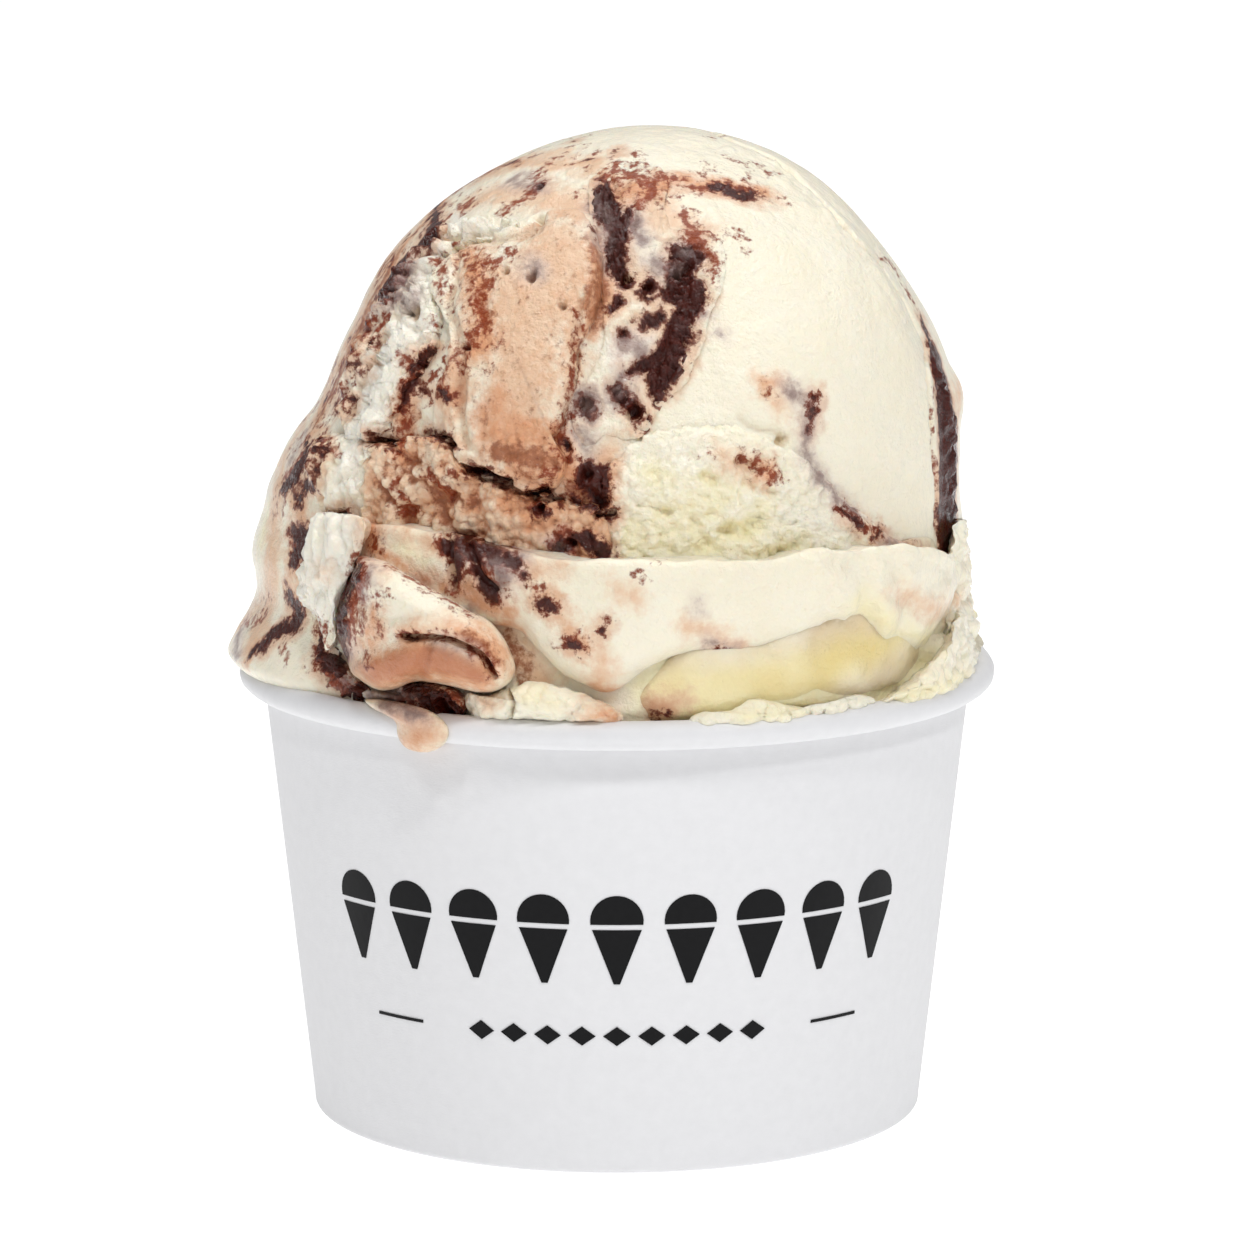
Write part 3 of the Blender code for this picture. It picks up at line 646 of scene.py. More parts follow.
SMEAR = (
    ((606, 176, 6), (620, 173, 7), (643, 176, 8), (652, 190, 7), (640, 206, 7)), ((606, 190, 9),),
    ((651, 176, 5), (675, 178, 5), (690, 182, 4)),
    ((685, 214, 5), (693, 238, 8), (704, 248, 7), (712, 259, 4), (716, 278, 4)),
    ((696, 186, 5), (712, 182, 7), (738, 190, 8), (760, 194, 6)),
    ((759, 154, 2),), ((762, 166, 3),), ((753, 178, 2),), ((770, 174, 2),), ((722, 135, 2),), ((658, 123, 3),),
    ((685, 127, 2),), ((612, 160, 3),), ((716, 168, 3),), ((742, 230, 2), (736, 242, 2)), ((747, 255, 2),),
    ((445, 199, 4), (469, 184, 4), (494, 170, 4), (517, 160, 3)), ((461, 208, 5), (478, 195, 5)),
    ((504, 210, 5), (524, 199, 5), (541, 172, 4), (556, 157, 3)),
    ((509, 252, 4), (495, 262, 5), (479, 266, 4)), ((491, 284, 7), (482, 297, 7)),
    ((449, 264, 4), (441, 288, 5)), ((469, 286, 4),), ((480, 306, 6), (481, 324, 8), (466, 332, 5), (459, 348, 5)),
    ((466, 354, 5),), ((578, 316, 2), (575, 346, 2), (571, 371, 2), (568, 409, 3), (562, 440, 6)),
    ((405, 360, 6), (412, 380, 8), (405, 405, 7), (400, 430, 7), (404, 452, 5)), ((436, 376, 5), (449, 395, 6)),
    ((398, 480, 4), (404, 512, 6)), ((434, 479, 6), (449, 492, 6)), ((458, 470, 4),),
    ((555, 448, 6), (566, 452, 8)), ((545, 470, 5),), ((590, 478, 16),), ((540, 508, 8),), ((567, 540, 13),),
    ((283, 509, 3),), ((282, 480, 4), (296, 470, 9)), ((243, 621, 4), (256, 624, 6), (264, 614, 4)),
    ((284, 630, 6), (300, 612, 6)), ((318, 625, 4), (322, 660, 8)), ((294, 530, 6), (303, 548, 10), (298, 566, 6)),
    ((275, 508, 3),), ((276, 490, 2), (277, 500, 2)), ((263, 600, 2), (272, 594, 2)), ((284, 650, 3), (288, 662, 2)),
    ((876, 254, 2), (891, 264, 2), (899, 277, 2), (909, 296, 3), (920, 312, 3), (929, 334, 3)),
    ((932, 352, 3), (934, 400, 2), (932, 445, 2), (936, 480, 3)), ((942, 560, 5), (942, 585, 3)),
    ((770, 381, 3), (772, 388, 3)), ((812, 396, 3), (812, 412, 2)), ((835, 506, 3), (858, 523, 4), (877, 534, 5)),
    ((909, 548, 3), (913, 560, 3)), ((740, 462, 3), (752, 466, 2), (777, 474, 3)), ((700, 455, 2),),
)
FILM = (
    ((600, 196, 8), (604, 214, 12), (609, 240, 8), (612, 258, 6)), ((636, 222, 14), (645, 240, 9)),
    ((655, 262, 8), (668, 275, 12), (688, 252, 10)), ((622, 388, 10), (612, 400, 8)), ((586, 406, 16),),
    ((580, 432, 6), (590, 445, 5)), ((706, 318, 5),), ((724, 333, 4),), ((530, 272, 9),), ((520, 178, 8), (536, 190, 9)),
    ((410, 268, 9), (395, 290, 9), (384, 308, 7)), ((416, 300, 6), (407, 311, 6)),
    ((790, 388, 7), (802, 400, 9), (806, 425, 7), (808, 450, 5), (818, 476, 6), (838, 500, 6), (852, 512, 5)),
    ((888, 546, 8), (905, 556, 9), (918, 566, 7)), ((244, 628, 8), (238, 642, 9), (238, 656, 7)),
    ((290, 462, 8), (300, 440, 8)),
    ((562, 545, 10),), ((625, 340, 10), (640, 345, 8)), ((625, 372, 8),),
)
TAN = (
    ((470, 200, 14), (505, 190, 18), (545, 200, 18), (585, 205, 14)), ((520, 160, 10), (560, 155, 10), (590, 165, 10)),
    ((560, 250, 30), (530, 300, 34), (520, 360, 34), (520, 420, 30), (520, 455, 16)), ((590, 240, 10), (598, 285, 11), (592, 325, 9)),
    ((480, 270, 18), (480, 320, 16), (460, 370, 16), (450, 410, 12)), ((560, 470, 18), (548, 440, 20)),
    ((370, 310, 10), (350, 350, 9), (335, 390, 9), (320, 420, 9)), ((400, 250, 8), (380, 285, 8)),
    ((300, 430, 12), (282, 460, 16), (275, 500, 16), (272, 550, 18), (270, 600, 18), (255, 640, 20)),
    ((300, 500, 12), (305, 560, 14), (300, 600, 14)), ((245, 620, 16), (262, 600, 10)),
    ((650, 205, 16), (670, 220, 12), (700, 230, 12)), ((765, 380, 12), (780, 400, 9)), ((960, 385, 10), (958, 410, 7)),
    ((720, 460, 8), (760, 475, 7)), ((905, 560, 14), (925, 600, 9)), ((350, 670, 12), (345, 690, 10)),
    ((560, 515, 18), (520, 520, 22)), ((610, 450, 10), (600, 520, 12)),
    ((578, 250, 10), (574, 300, 11), (570, 350, 11), (564, 400, 11)), ((498, 625, 8), (520, 655, 12), (545, 685, 14)),
)
PEACH = (
    ((500, 395, 8), (495, 420, 22), (505, 440, 26), (535, 450, 24), (560, 440, 12)), ((540, 478, 14), (520, 470, 12)),
    ((600, 190, 9), (640, 190, 12), (690, 180, 12), (740, 190, 12), (770, 192, 6)),
    ((592, 250, 8), (600, 285, 10), (592, 325, 9)), ((470, 250, 8), (485, 300, 12), (478, 345, 12)),
    ((400, 370, 10), (405, 420, 11), (404, 452, 8)), ((445, 200, 8), (400, 250, 8), (372, 300, 7), (348, 350, 6)),
    ((480, 505, 6), (520, 510, 10), (540, 520, 14)), ((560, 470, 14), (600, 500, 10)),
    ((772, 384, 6),), ((762, 466, 6),), ((880, 536, 7), (912, 560, 8)),
)
BROWN = (
    ((380, 466, 10), (392, 490, 17), (400, 518, 11)), ((420, 476, 14), (445, 490, 13), (468, 506, 9)),
    ((500, 486, 7), (540, 502, 8)), ((420, 455, 6), (440, 462, 6)), ((502, 632, 4), (516, 655, 6), (528, 676, 5)),
    ((500, 455, 10), (535, 462, 12), (556, 458, 9)), ((595, 240, 6), (600, 285, 9), (594, 322, 8)),
    ((590, 480, 20), (575, 500, 8)), ((570, 540, 16), (595, 545, 12)), ((545, 512, 9),), ((404, 400, 9), (402, 440, 8)),
    ((485, 315, 10),), ((430, 520, 9), (455, 528, 7)), ((394, 258, 7), (370, 305, 8), (350, 350, 8), (334, 388, 8), (318, 420, 7)),
)
YELLOW = (
    ((640, 540, 25), (690, 530, 34), (740, 535, 34), (790, 540, 22)), ((650, 480, 20), (700, 500, 26), (760, 515, 22)),
    ((660, 690, 30), (720, 690, 34), (790, 670, 36), (850, 660, 34)), ((860, 690, 20), (920, 670, 22), (970, 650, 18)),
    ((268, 510, 9), (262, 540, 9)), ((910, 600, 14),),
)
WHITE = (
    ((452, 215, 10), (470, 232, 9), (500, 234, 7)), ((440, 250, 12), (428, 272, 12), (412, 300, 10)),
    ((440, 325, 12), (420, 330, 14), (395, 340, 16)), ((400, 330, 14), (380, 370, 20), (372, 410, 22), (360, 440, 16)),
    ((345, 455, 12), (345, 490, 16), (350, 510, 16)), ((620, 350, 14), (640, 340, 10)),
)
GRAINY = (
    ((385, 475, 12), (410, 495, 24), (450, 505, 24), (500, 515, 28), (550, 525, 24)), ((470, 455, 8), (520, 462, 14), (560, 462, 10)),
    ((600, 470, 16), (640, 460, 20), (690, 450, 22), (740, 455, 22), (780, 470, 18)),
    ((620, 520, 24), (680, 520, 34), (740, 525, 34), (800, 535, 24), (850, 545, 14)),
    ((420, 420, 10), (445, 440, 8)), ((585, 480, 20), (590, 540, 18)),
    ((880, 690, 16), (920, 670, 18), (960, 650, 18), (980, 665, 12)), ((955, 600, 10), (960, 560, 8)),
)
TORN = (
    ((445, 250, 12), (428, 280, 12), (424, 325, 14)), ((405, 335, 12), (392, 375, 14), (378, 420, 14), (362, 455, 12)),
    ((470, 234, 8), (505, 236, 6)), ((420, 370, 12), (415, 400, 12)), ((440, 300, 10), (480, 310, 8)),
)
ROPY = (
    ((606, 190, 14), (616, 240, 22), (640, 280, 26), (680, 290, 34), (680, 350, 30), (650, 385, 26), (630, 410, 20)),
    ((586, 408, 14), (590, 480, 24), (580, 545, 24)), ((925, 340, 10), (948, 420, 18), (950, 520, 16)),
)
GROOVES = (
    ((700, 128, 4), (760, 152, 4), (800, 178, 4), (850, 232, 4), (880, 262, 4), (905, 300, 4), (925, 345, 4),
     (932, 420, 4), (936, 500, 4), (940, 560, 4)),
    ((578, 300, 3), (575, 346, 4), (570, 380, 4), (566, 420, 3)), ((432, 232, 4), (470, 240, 5), (505, 240, 4), (538, 226, 4)),
    ((458, 260, 4), (448, 300, 5), (458, 345, 5), (455, 400, 5), (468, 450, 4)), ((396, 315, 3), (372, 360, 3), (350, 410, 3)),
    ((740, 420, 3), (780, 432, 4)), ((322, 500, 4), (316, 540, 4), (308, 600, 4)),
)
CRACKS = (
    ((372, 437, 2), (392, 442, 3)), ((427, 433, 2.5), (445, 438, 3.5), (456, 446, 2)),
    ((466, 471, 3), (489, 474, 4), (509, 481, 3)), ((527, 494, 2), (545, 493, 3), (562, 500, 2)), ((600, 512, 3), (612, 514, 3)),
    ((330, 515, 2), (345, 517, 2)),
)
# Across, down, half width: small open holes left by trapped air
PITS = (
    (625, 277, 5), (646, 286, 4), (690, 268, 5), (540, 218, 5), (533, 274, 5), (505, 267, 3), (409, 310, 6),
    (417, 417, 4), (636, 416, 7), (586, 406, 7), (566, 444, 4), (781, 440, 6), (537, 187, 3), (464, 345, 3),
    (590, 475, 5), (571, 545, 4), (541, 511, 4), (604, 500, 4), (560, 305, 3), (680, 272, 4),
)
# Shallow torn hollows of the granular flank
FURROWS = (
    ((700, 424, 3), (720, 427, 5)), ((692, 518, 3), (697, 534, 6), (704, 548, 5)), ((716, 530, 3), (738, 534, 4), (760, 528, 3)),
    ((740, 461, 3), (760, 466, 3)), ((745, 482, 3), (776, 490, 5)), ((640, 503, 3), (665, 510, 3)), ((760, 552, 4), (800, 556, 4)),
    ((660, 545, 3), (675, 550, 3)), ((700, 480, 3), (712, 486, 2)),
)
# Each hole is drawn a little longer one way, in a direction taken from its place
HOLES = [((x, y, w), (x + w * sin(x + y), y + 0.7 * w * cos(x + y), 0.6 * w)) for x, y, w in PITS]
# Where a denser piece lies over the mound, which sinks out of its way
COVERED = (((616, 188, 8), (622, 225, 14), (650, 280, 34), (652, 330, 34), (640, 375, 24), (620, 405, 10)),)
LEFT_EDGE = ((445, 190, 1), (400, 235, 1), (372, 290, 1), (348, 340, 1), (328, 390, 1), (318, 425, 1), (300, 460, 1))
CROWN_EDGE = ((440, 200, 1), (480, 165, 1), (530, 145, 1), (580, 150, 1), (620, 170, 1))
MARKS = {
    "cocoa": COCOA + specks(LEFT_EDGE, 50, 9, (1, 5), 201) + specks(CROWN_EDGE, 16, 9, (1, 4), 202),
    "smear": SMEAR + specks(LEFT_EDGE, 130, 11, (1, 7), 203) + specks(CROWN_EDGE, 60, 14, (1, 5), 204)
             + specks(((600, 180, 1), (690, 190, 1), (720, 250, 1)), 30, 12, (1, 3), 205)
             + specks(((470, 250, 1), (480, 340, 1), (440, 380, 1)), 40, 14, (1, 5), 206)
             + specks(((690, 140, 1), (760, 160, 1), (760, 200, 1)), 14, 12, (0.6, 2), 207),
    "film": FILM, "peach": PEACH, "brown": BROWN, "yellow": YELLOW, "white": WHITE,
    "tan": TAN + (((445, 190, 14), (400, 235, 16), (372, 290, 15), (348, 340, 14), (328, 390, 13), (314, 430, 12)),
                  ((470, 180, 16), (530, 160, 16), (590, 165, 18))),
}


def streaks_behind(count, widths, lengths, seed):
    """Ripple on the hidden side: lines that wander down the mound's grid from random starts."""
    random = np.random.default_rng(seed)
    lines = []
    for _ in range(count):
        turn, z = random.uniform(96, 264), random.uniform(60, 108)
        steps = int(random.uniform(*lengths))
        turns = turn + np.cumsum(random.normal(0.8, 2.4, steps))
        heights = np.clip(z - np.cumsum(random.uniform(0.2, 1.6, steps)), 53, 110)
        rows = np.clip(np.searchsorted(height[:, 0], heights), 0, len(height) - 1)
        columns = np.clip(np.searchsorted(azimuth[0], turns), 0, azimuth.shape[1] - 1)
        wide = random.uniform(*widths) * (0.4 + 0.6 * np.sin(np.linspace(0.3, 2.9, steps)))
        lines.append((mound[rows, columns], wide))
    return lines


BEHIND = {
    "cocoa": streaks_behind(30, (0.5, 1.5), (3, 16), 301), "smear": streaks_behind(60, (0.4, 1.2), (2, 10), 302),
    "film": streaks_behind(18, (0.6, 1.4), (3, 9), 303), "tan": streaks_behind(26, (1.5, 4.5), (4, 14), 304),
    "brown": streaks_behind(9, (1.0, 2.2), (3, 8), 305), "yellow": streaks_behind(10, (2.0, 5.0), (3, 8), 306),
    "white": streaks_behind(8, (1.2, 2.6), (3, 9), 307), "peach": streaks_behind(16, (1.0, 2.6), (3, 10), 311),
}
fields = {field: stroke_field(mound, MARKS[field], lines=BEHIND[field]) for field in MARKS}
grainy = stroke_field(mound, GRAINY, 1.5, lines=streaks_behind(12, (1.5, 4.0), (4, 10), 308))
ropy = stroke_field(mound, ROPY, 0.3)
torn = stroke_field(mound, TORN, 1.5, lines=streaks_behind(10, (1.2, 3.0), (4, 12), 309))
grooved, cracked = stroke_field(mound, GROOVES, 0.5), stroke_field(mound, CRACKS, 0.6)
wavy = stroke_field(mound, (((690, 138, 12), (760, 162, 14), (820, 205, 14), (870, 262, 12), (905, 320, 8)),), 1.0)
pitted = stroke_field(mound, HOLES, 0.4, lines=streaks_behind(26, (0.3, 0.6), (1, 2), 310))
print("strokes on the mound", sum(len(MARKS[field]) for field in MARKS))

# %% [markdown]
# Relief follows the same strokes: grain where the mass was torn, flakes along the torn
# band, ridges in the chocolate, and a fine low grain on the smooth cap, which is what
# catches the small lights on it.

# %% Relief of the mound
def calmed(grid):
    """From 0.3 where the surface is seen edge-on to 1 where it is seen flat, so that the outline stays smooth."""
    return 0.3 + 0.7 * eased(np.abs(grid_normals(grid) @ TO_EYE), 0.05, 0.5)


def relief(grid, grainy, torn, ropy, cocoa):
    """Fine relief in mm: low waves all over, round grains, torn curds, and lumpy chocolate."""
    swell = 0.16 * fractal(grid, 4.5, 3, 20) + 0.06 * grains(grid, 1.3, 24)
    lumps = 0.4 * grains(grid, 1.2, 31) + 0.5 * grains(grid, 3.1, 32) + 0.35 * fractal(grid, 2.0, 3, 33)
    curds = 1.6 * billows(grid * (1.0, 1.0, 0.5), 2.6, 3, 41)
    ropes = 1.4 * billows(grid, 2.0, 2, 51)
    return (swell + eased(grainy, -0.8, 0.8) * (lumps - 0.5) + eased(torn, -0.8, 0.8) * (curds - 0.6)
            + eased(ropy, -0.4, 0.5) * eased(cocoa, -0.4, 0.5) * (ropes - 0.1))


def hollows(grooved, cracked, pitted):
    """Grooves, cracks and pits as a negative height in mm."""
    return -0.6 * eased(grooved, -0.35, 0.35) - 2.4 * eased(cracked, -0.25, 0.3) - 1.3 * eased(pitted, -0.35, 0.45)


broad_mound = mound
covered = eased(stroke_field(mound, COVERED, 0.0), -0.8, 0.8)
detail = relief(mound, grainy, torn, ropy, fields["cocoa"]) * calmed(mound) + hollows(grooved, cracked, pitted)
# Chocolate colour in the cracks: partly the ripple showing in them, partly painted shade.
fields["cocoa"] = np.maximum(fields["cocoa"], cracked)
detail = detail + 0.8 * eased(wavy, -1.5, 1.2) * (billows(mound * (0.6, 0.6, 1.2), 2.6, 2, 27) - 0.3)
detail = eased(height, 50.5, 52.5) * (detail * (1 - covered) - 2.0 * covered)
mound = mound + detail[..., None] * push
fields["rough"] = np.maximum(grainy, torn)
# Painted shade: the field deep grows with how far a point sinks in the relief, and the shader darkens it by that.
fields["deep"] = -0.4 * detail
as_gelato(surface_object("gelato_mound", mound, fields, gelato_finish))

# %% [markdown]
# ## Sheets laid over the mound
# Where the spatula dragged one layer over another, the upper one has a real edge with a
# shadow under it. Those layers are pieces of their own. A cushion starts from its
# outline as it is seen, and a strip from its middle line and half widths. Both are rings
# of picture places with a reach, and are then laid on the mound or on a plain ring.

# %% Outlines and strips as places with a reach
def closed_curve(stops, count):
    """A smooth closed curve: each place is a weighted mean of four stops, a Catmull-Rom curve."""
    stops = np.array(stops, float)
    t = np.linspace(0, len(stops), count, endpoint=False)
    i = t.astype(int)
    s = (t - i)[:, None]
    p = [stops[(i + k) % len(stops)] for k in (-1, 0, 1, 2)]
    return 0.5 * (2 * p[1] + (p[2] - p[0]) * s + (2 * p[0] - 5 * p[1] + 4 * p[2] - p[3]) * s**2
                  + (3 * p[1] - p[0] - 3 * p[2] + p[3]) * s**3)


def ragged(edge, reach, seed):
    """An outline shaken by noise 9 and 3 pixels long, for a torn edge."""
    flat = np.concatenate([edge, np.zeros((len(edge), 1))], axis=1)
    shake = np.stack([smooth_noise(flat, 9.0, seed + k) + 0.7 * smooth_noise(flat, 3.5, seed + k + 5) for k in (0, 1)], axis=1)
    return edge + reach * shake


def cushion(outline, middle, rise, back, rows=90, columns=320, fullness=0.8, torn_edge=0.0, seed=1):
    """An outline blown up: rings shrink to the middle as sin t, and stand out as cos t to the fullness."""
    edge = closed_curve(outline, columns)
    torn = ragged(edge, torn_edge, seed) - edge
    t = np.linspace(0.02, pi - 0.02, rows)[:, None]
    shrink = np.sin(t)[..., None]
    places = np.array(middle) + shrink * (edge[None] - middle) + shrink**8 * torn[None]
    swelling = np.abs(np.cos(t)) ** fullness
    return places, np.broadcast_to(np.where(t < pi / 2, rise * swelling, -back * swelling), places.shape[:2])


def strip(spine, rise, back, rows=300, around=120, fullness=0.5, torn_edge=0.0, seed=1):
    """A line with half widths made a flat bar: across as cos t and out as sin t, both to the fullness."""
    spine = np.array(spine, float)
    runs = np.linalg.norm(np.diff(spine[:, :2], axis=0), axis=1)
    length = np.concatenate([[0], np.cumsum(runs)])
    along = np.linspace(0, length[-1], rows)
    x, y, wide = (smooth_between(along, list(zip(length, column))) for column in spine.T)
    way = np.stack([np.gradient(x), np.gradient(y)], axis=1)
    way /= np.linalg.norm(way, axis=1)[:, None]
    side = np.stack([-way[:, 1], way[:, 0]], axis=1)
    t = np.linspace(0, 2 * pi, around, endpoint=False)[None, :]
    out, over = (np.sign(wave) * np.abs(wave) ** fullness for wave in (np.sin(t), np.cos(t)))
    middle = np.stack([x, y], axis=1)
    places = middle[:, None] + side[:, None] * (wide[:, None] * over)[..., None]
    places = ragged(places.reshape(-1, 2), torn_edge, seed).reshape(places.shape)
    ends = np.clip(wide / wide.max() * 3, 0, 1)[:, None]
    return places, np.where(out > 0, rise * out, back * out) * ends


# %% Rays that meet the mound or a ring
def rays_through(places):
    """Unit directions from the eye through picture places."""
    ray = at_depth(places[..., 0], places[..., 1], np.zeros(places.shape[:-1])) - EYE
    return ray / np.linalg.norm(ray, axis=-1)[..., None]


def on_ring(places, ring):
    """Where the ray through a picture place first meets a cylinder of that radius about the cup's axis."""
    ray = rays_through(places)
    a = ray[..., 0] ** 2 + ray[..., 1] ** 2
    b = EYE[0] * ray[..., 0] + EYE[1] * ray[..., 1]
    c = EYE[0] ** 2 + EYE[1] ** 2 - ring**2
    run = (-b - np.sqrt(np.maximum(b * b - a * c, 0))) / a
    return EYE + ray * run[..., None]


def mound_near(points):
    """The mound's point and outward push at the azimuth and height of each point, between grid points."""
    turns = np.degrees(np.arctan2(points[..., 0] - axis_shift(points[..., 2]), -points[..., 1]))
    across = np.interp(turns, azimuth[0, :FRONT_COLUMNS], np.arange(FRONT_COLUMNS))
    along = np.interp(points[..., 2], height[:, 0], np.arange(len(height)))
    j, i = np.minimum(across.astype(int), FRONT_COLUMNS - 2), np.minimum(along.astype(int), len(height) - 2)
    u, v = (across - j)[..., None], (along - i)[..., None]

    def between(grid):
        low = grid[i, j] * (1 - u) + grid[i, j + 1] * u
        return low * (1 - v) + (grid[i + 1, j] * (1 - u) + grid[i + 1, j + 1] * u) * v

    return between(broad_mound), between(push)


def on_mound(places, reach):
    """Moves along each ray by part of what is left to the mound until none is, then adds the reach outward."""
    ray = rays_through(places)

    def outside(run):
        points = EYE + ray * run[..., None]
        surface, _ = mound_near(points)
        shift = axis_shift(points[..., 2])
        from_axis = np.hypot(points[..., 0] - shift, points[..., 1])
        return from_axis - np.hypot(surface[..., 0] - shift, surface[..., 1])

    behind = (-5.0 - EYE[1]) / ray[..., 1]
    run = np.full(places.shape[:-1], DISTANCE - 45.0)
    for _ in range(18):
        run = np.minimum(run + 0.6 * outside(run), behind)
    surface, way = mound_near(EYE + ray * run[..., None])
    return surface + way * reach[..., None], way


def marbled(grid, marks, wander=0.6, seed=7):
    """The gelato's fields for a piece that faces the eye; a field without strokes is far outside."""
    outside = np.full(grid.shape[:2], FAR_OUTSIDE)
    return {field: picture_field(grid, marks[field], wander, seed) if field in marks else outside.copy()
            for field in FIELDS}


print("the mound's front is met at", on_mound(np.array([[620.0, 400.0]]), np.zeros(1))[0].round(1))

# %% [markdown]
# The layers: a beige panel with a crisp lower edge, the white curds beside it, the brown
# and beige crust under it where the scoop tore, the pale granular flank at the right, and
# the vein of chocolate between the panel and the cap, on a grid fine enough for its gloss.

# %% Panel, curds, crust, granular flank and vein
PANEL = (
    (526, 238), (551, 227), (578, 224), (596, 240), (604, 270), (600, 300), (590, 330), (580, 352), (576, 376),
    (572, 402), (564, 424), (556, 442), (566, 460), (564, 478), (552, 492), (535, 493), (518, 484), (500, 477),
    (480, 470), (464, 462), (456, 444), (450, 420), (448, 392), (452, 365), (456, 342), (450, 322), (438, 300),
    (440, 276), (456, 260), (482, 250), (505, 245),
)
CRUST = (
    (378, 450), (404, 444), (424, 438), (448, 442), (464, 462), (482, 476), (504, 486), (528, 496), (551, 500),
    (580, 502), (604, 510), (610, 530), (612, 562), (560, 566), (518, 562), (486, 556), (446, 546), (414, 538),
    (384, 530), (372, 506), (370, 478),
)
FLANK = (
    (606, 470), (640, 440), (690, 428), (740, 430), (785, 450), (815, 472), (838, 498), (866, 524), (900, 548),
    (890, 566), (840, 574), (780, 574), (720, 574), (660, 572), (612, 566), (604, 540), (602, 500),
)
CURDS = (
    (520, 236, 4), (496, 236, 8), (466, 238, 11), (446, 250, 13), (430, 272, 16), (420, 300, 24), (410, 328, 34),
    (396, 358, 31), (382, 386, 28), (372, 412, 25), (366, 432, 19), (362, 444, 8),
)
VEIN = (
    (600, 172), (622, 162), (650, 165), (668, 180), (664, 205), (672, 228), (690, 232), (712, 240), (724, 262),
    (722, 290), (712, 312), (704, 340), (694, 362), (684, 386), (668, 400), (656, 416), (648, 432), (630, 440),
    (606, 436), (590, 448), (578, 440), (572, 420), (578, 398), (592, 372), (602, 350), (604, 330), (602, 305),
    (599, 280), (596, 250), (592, 225), (588, 200), (590, 184),
)
CURD_LUMP = (
    (330, 438), (352, 440), (374, 446), (390, 450), (378, 464), (375, 484), (379, 506), (366, 520), (342, 520),
    (326, 508), (319, 482), (317, 458),
)


def layer_piece(name, form, marks, coarse, seed, colour_and_shade_in_hollows=()):
    """A layer laid on the mound. Relief comes from coarse(grid, fields); each tint given last grows a field in the
    hollows, partly the gelato's own colour and partly painted shade.
    """
    places, reach = form
    grid, way = on_mound(places, reach)
    pits = picture_field(grid, HOLES, 0.4)
    cuts = picture_field(grid, CRACKS, 0.5)
    grooves = picture_field(grid, GROOVES, 0.5)
    fields = marbled(grid, marks, 0.7, seed)
    facing = np.clip(-(way * rays_through(places)).sum(-1) / 0.2, 0, 1)
    heights = coarse(grid, fields) * facing
    sunk = hollows(grooves, cuts, pits)
    for field, share, growth in colour_and_shade_in_hollows:
        fields[field] = np.clip(fields[field], -1, 1) + growth - share * heights
    # Chocolate colour in the cracks: partly ripple, partly painted shade.
    fields["cocoa"] = np.maximum(fields["cocoa"], cuts)
    # Painted shade in the hollows of the relief, and more in grooves, cracks and pits.
    fields["deep"] = -0.28 * heights - 0.45 * sunk
    heights = heights + sunk
    fields["rough"] = np.full(grid.shape[:2], 1.0)
    as_gelato(surface_object(name, grid + way * heights[..., None], fields, gelato_finish))


def panel_relief(grid, fields):
    """Low bumps and a little drag down the panel, with grains where it turns orange and brown."""
    drag = 0.16 * fractal(grid * (1, 1, 0.4), 2.4, 3, 131) + 0.1 * grains(grid, 1.6, 134)
    low = eased(seen_at(grid)[..., 1], 405, 450)
    return drag + low * (0.4 * grains(grid, 1.0, 136) + 0.4 * grains(grid, 2.1, 137) - 0.3)


def crust_relief(grid, fields):
    """Small round grains over lumps, like the head of a cauliflower."""
    return 0.6 * grains(grid, 1.0, 141) + 0.8 * grains(grid, 2.8, 142) + 0.4 * fractal(grid, 2.2, 3, 143) - 0.6


def flank_relief(grid, fields):
    """Broken crumb: ragged noise with small grains, weaker towards the top where it turns smooth."""
    strong = 0.35 + 0.65 * eased(seen_at(grid)[..., 1], 425, 490)
    crumb = 0.45 * grains(grid, 1.0, 151) + 0.5 * fractal(grid, 2.0, 4, 152) + 0.3 * grains(grid, 2.6, 153)
    return strong * (crumb + 0.2) - 0.8 * eased(picture_field(grid, FURROWS, 0.8), -0.8, 0.5)


def curd_relief(grid, fields):
    """Wet curds: creased lumps drawn out downwards, bent by a slow noise."""
    bent = warp(grid, 3.2, 0.9, 160) * (1, 1, 0.55)
    return 1.7 * billows(bent, 2.3, 2, 161) + 0.12 * grains(grid, 1.1, 163) - 0.6


def vein_relief(grid, fields):
    """Chocolate sunk a little into the cream, with creased lumps of its own; slow swells round it."""
    chocolate = eased(fields["cocoa"], -0.4, 0.3)
    lumps = 1.2 * billows(warp(grid, 2.0, 0.5, 170), 1.5, 3, 171) + 0.25 * smooth_noise(grid, 3.0, 174) - 0.5
    milky = 0.3 * fractal(grid, 3.0, 3, 175) + 0.08 * grains(grid, 1.1, 178)
    return chocolate * lumps + (1 - chocolate) * milky - 0.3 * eased(fields["cocoa"], -1.3, -0.3)


def fine_marks(*without):
    """The marks of the mound, less some fields."""
    return {field: strokes for field, strokes in MARKS.items() if field not in without}


